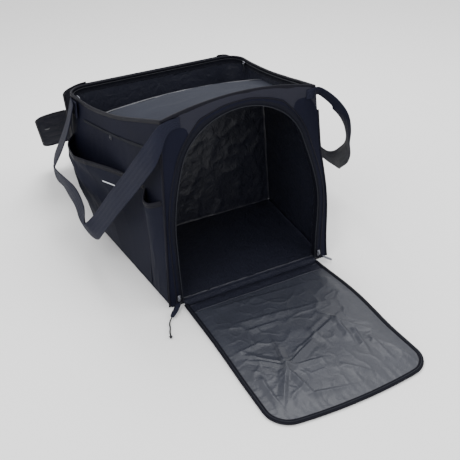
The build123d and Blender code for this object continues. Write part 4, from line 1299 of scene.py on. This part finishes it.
def make_handles():
    face_y = FRONT_Y - 2.4
    # low and high edge of the strap where it lies on the front and wraps round the corner
    wrap = [
        ((134, face_y + 0.4, 411), (134, face_y + 0.4, 433)), ((146, face_y, 411), (146, face_y, 432)),
        ((158, face_y - 0.2, 406), (157, face_y - 0.2, 431)),
        ((167, face_y - 0.8, 396), (167, face_y - 0.8, 429)),
        ((175, face_y - 2.5, 381), (175, face_y - 1.5, 427)), ((186, -269, 364), (183, -258, 420)),
        ((198, -268, 345), (191, -246, 403)),
    ]
    left = [(-4, 2), (6, 56), (306, 304), (395, 230), (590, 196), (480, 76), (452, 3)]
    turns = [(0, -6), (0.12, -15), (0.4, -15), (0.455, -40), (0.52, 0), (0.6, -8), (0.7, -28), (0.77, -16)]
    make_handle("left", -1, 16, left, 40, turns + [(0.86, -12), (1, -12)], wrap, 96)
    # the right strap turns edge-on as it leaves the corner
    wrap = [((148, face_y, 428), (148, face_y, 408)), ((162, face_y - 1, 429), (162, face_y - 1, 407))]
    wrap += [((172, -262, 430), (175, -251, 407)), ((177, -274, 430), (189, -243, 405))]
    right = [(0, 8), (-44, 38), (-20, 88), (88, 204), (285, 306), (560, 196), (480, 80), (452, 3)]
    turns = [(0, -18), (0.03, 0), (0.06, 14), (0.1, -5), (0.16, -28), (0.27, -33), (0.42, -30)]
    make_handle("right", 1, 30, right, 60, turns + [(0.5, -5), (0.6, -10), (0.8, 0), (1, 0)], wrap, 30)
    # sewn ends: rear straps on the side walls
    runs = []
    for side, word in SIDES:
        path = []
        for t in np.linspace(0, 1, 16):
            z = PATCH_Z + PATCH_RUN * t
            y = BEND_Y - WEBBING / 2
            path.append((side * (side_half(side, y, z) + 4.6), y + 3 * t, z))
        path = np.array(path)
        patch = sweep(f"{word}_rear_patch", path, (side, 0, 0), strap_section(WEBBING, 2.0, 5), webbing)
        place(patch, "shell", "webbing", *(["handle_anchor_patches"] if side < 0 else []))
        facing = (side, 0, 0)
        for shift in (-WEBBING / 2 + 4, WEBBING / 2 - 4):
            runs.append((path + np.array([side * 1.6, shift, 0]), facing))
        low, high = path[1] + np.array([side * 1.6, 0, 0]), path[-2] + np.array([side * 1.6, 0, 0])
        half = np.array([0, WEBBING / 2 - 4, 0])
        for start, end in ((low - half, low + half), (low - half, high + half), (low + half, high - half)):
            runs.append(([start, end], facing))
    # two rows of stitching hold the left wrapped end to the front
    for x in (140, 146):
        runs.append(([(-x, face_y - 1.3, 413), (-x, face_y - 1.3, 430)], (0, -1, 0)))
    place(stitches("anchor_stitching", runs), "shell", "webbing")


# ---------------------------------------------------------------- hardware
def make_studs():
    profile = [(6.5, 0), (6.5, 0.7), (5.6, 1.2), (3.6, 1.2), (3.2, 1.6), (3.5, 2.6), (2.8, 3.0), (0.3, 3.1)]
    for side, word in SIDES:
        spot = np.array([side * side_half(side, STUD_Y, STUD_Z), STUD_Y, STUD_Z])
        out = sag(spot, STUD_Z / rim_height(STUD_Y)) + 0.2
        centre = (spot[0] + side * out, STUD_Y, STUD_Z)
        stud = lathe(f"{word}_wall_stud", profile, centre, (side, -0.12, 0.06), gunmetal)
        place(stud, "shell", "metal", *(["press_studs"] if side < 0 else []))


def make_slider(body, along, face):
    """Zip slider: a waisted body where the CAD slider is, with a bridge for its pull."""
    name = f"{body}_body"
    low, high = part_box(body)
    centre = (low + high) / 2 / MM
    along, face = Vector(along).normalized(), Vector(face).normalized()
    half, thick = SLIDER_WIDTH / 2, SLIDER_THICK
    path = [Vector(centre) + along * s for s in np.linspace(-SLIDER_LENGTH / 2, SLIDER_LENGTH / 2, 13)]
    shape = [0.45, 0.72, 0.9, 1.0, 1.0, 0.94, 0.88, 0.84, 0.82, 0.8, 0.78, 0.7, 0.5]
    section = [(-half, -thick / 2), (-half, thick / 4), (-half + 1, thick / 2)]
    section += [(-a, b) for a, b in section[::-1]]
    place(sweep(name, path, tuple(face), section, nickel, scale=shape), body, "metal", body)
    arch = [(-4.6, 0.6), (-4.0, 2.0), (-2, 2.9), (1, 2.9), (3.2, 2.0), (4.0, 0.6)]
    path = [Vector(centre) + along * s + face * (thick / 2 - 1.0 + h) for s, h in arch]
    bridge = sweep(f"{name}_bridge", spaced(path, 1.0), tuple(along.cross(face)), circle(0.9, 8), nickel)
    place(bridge, body, "metal")


def make_hardware():
    make_studs()
    for side, word in SIDES:
        make_slider(f"{word}_door_slider", (0, 0, 1), (0, -1, 0))
        along = Vector((side * (FRONT_TOP_HALF - REAR_HALF), SIDE_Y - BEND_Y, FRONT_HEIGHT - REAR_HEIGHT))
        make_slider(f"{word}_lid_slider", along, Vector((0, 0, 1)).cross(along) * side)
    for name in ("right_metal_pull", "left_lid_pull", "right_lid_pull"):
        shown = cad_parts[name]
        shown.data.materials.clear()
        shown.data.materials.append(nickel)


CORD_ROUTE = [
    (-211.1, -295.1, 5.5),
    (-218.0, -300.6, 3.2),
    (-224.0, -311.5, 2.1),
    (-227.0, -324.0, 1.9),
    (-233.0, -336.0, 2.0),
    (-236.0, -349.0, 2.4),
]
CORD_DIAMETER = 0.003


def make_cord():
    """Limp cord of the left door pull, with its knot."""
    data = bpy.data.curves.new("left_pull_braid", "CURVE")
    data.dimensions = "3D"
    data.bevel_depth = CORD_DIAMETER / 2
    data.bevel_resolution = 4
    spline = data.splines.new("NURBS")
    spline.points.add(len(CORD_ROUTE) - 1)
    for point, spot in zip(spline.points, CORD_ROUTE):
        point.co = (*[c * MM for c in spot], 1)
    spline.order_u = 3
    spline.use_endpoint_u = True
    spline.resolution_u = 16
    data.materials.append(cord_braid)
    braid = bpy.data.objects.new("left_pull_braid", data)
    bpy.context.scene.collection.objects.link(braid)
    place(braid, "left_door_pull", "cord", "left_pull_cord")
    # overhand knot: a trefoil of the same cord
    path = []
    for t in np.linspace(0, 2 * math.pi, 60, endpoint=False):
        x = math.sin(t) + 2 * math.sin(2 * t)
        y = math.cos(t) - 2 * math.cos(2 * t)
        z = -math.sin(3 * t)
        path.append((-237 + x * 0.95, -353 + y * 0.95, 3.3 + z * 1.1))
    knot = sweep("left_pull_bead", path, (0.1, 0.2, 1), circle(1.35, 8), cord_braid, closed=True)
    place(knot, "left_door_pull", "cord", "left_pull_knot")
    # folded cloth tab that the cord hangs from
    start, way = Vector((-184, -270, 14.5)), Vector((-27, -25, -9)).normalized()
    path = np.array([tuple(start + way * s) for s in np.linspace(0, TAB_LENGTH, TAB_COUNT)])
    for k, p in enumerate(path):
        p[2] += 0.5 * math.sin(k * 0.5)
    shares = np.linspace(0, 1, TAB_COUNT)
    spread = np.interp(shares, [0, 0.1, 0.6, 0.9, 1], [0.75, 0.95, 1.0, 0.85, 0.55])
    tab = sweep("left_pull_cloth", path, (0, 0, 1), strap_section(13, 3.0), webbing, scale=spread)
    place(tab, "left_door_pull", "shell_fabric", "left_pull_tab")


# ---------------------------------------------------------------- floor and light
def make_stage():
    bpy.ops.mesh.primitive_plane_add(size=30, location=(0, 0, -0.0006))
    floor = bpy.context.object
    floor.name = "floor"
    floor.data.materials.append(new_material("floor_paint", (0.92, 0.92, 0.92), 0.9, specular=0.05)[0])
    world = bpy.data.worlds.new("studio")
    world.use_nodes = True
    world.node_tree.nodes["Background"].inputs["Color"].default_value = (1, 1, 1, 1)
    world.node_tree.nodes["Background"].inputs["Strength"].default_value = 1.25
    bpy.context.scene.world = world
    for name, spot, size, power in (
        ("key", (-1.4, -1.6, 2.0), 1.4, 30),
        ("fill", (1.8, -1.6, 1.5), 1.8, 15),
        ("top", (0.4, 0.8, 2.4), 1.4, 46),
    ):
        lamp = bpy.data.lights.new(name, "AREA")
        lamp.size = size
        lamp.energy = power
        light = bpy.data.objects.new(name, lamp)
        bpy.context.scene.collection.objects.link(light)
        aim = Vector((0, -0.2, 0.1)) - Vector(spot)
        light.matrix_world = Matrix.Translation(spot) @ aim.to_track_quat("-Z", "Y").to_matrix().to_4x4()


make_cord()
make_walls()
make_base()
make_front()
make_arch_zip()
make_corner_piping()
make_rim()
make_dividers()
make_pockets()
make_door()
make_lid()
for wing_side, wing_word in SIDES:
    make_wing(wing_side, wing_word)
make_handles()
make_hardware()
make_stage()
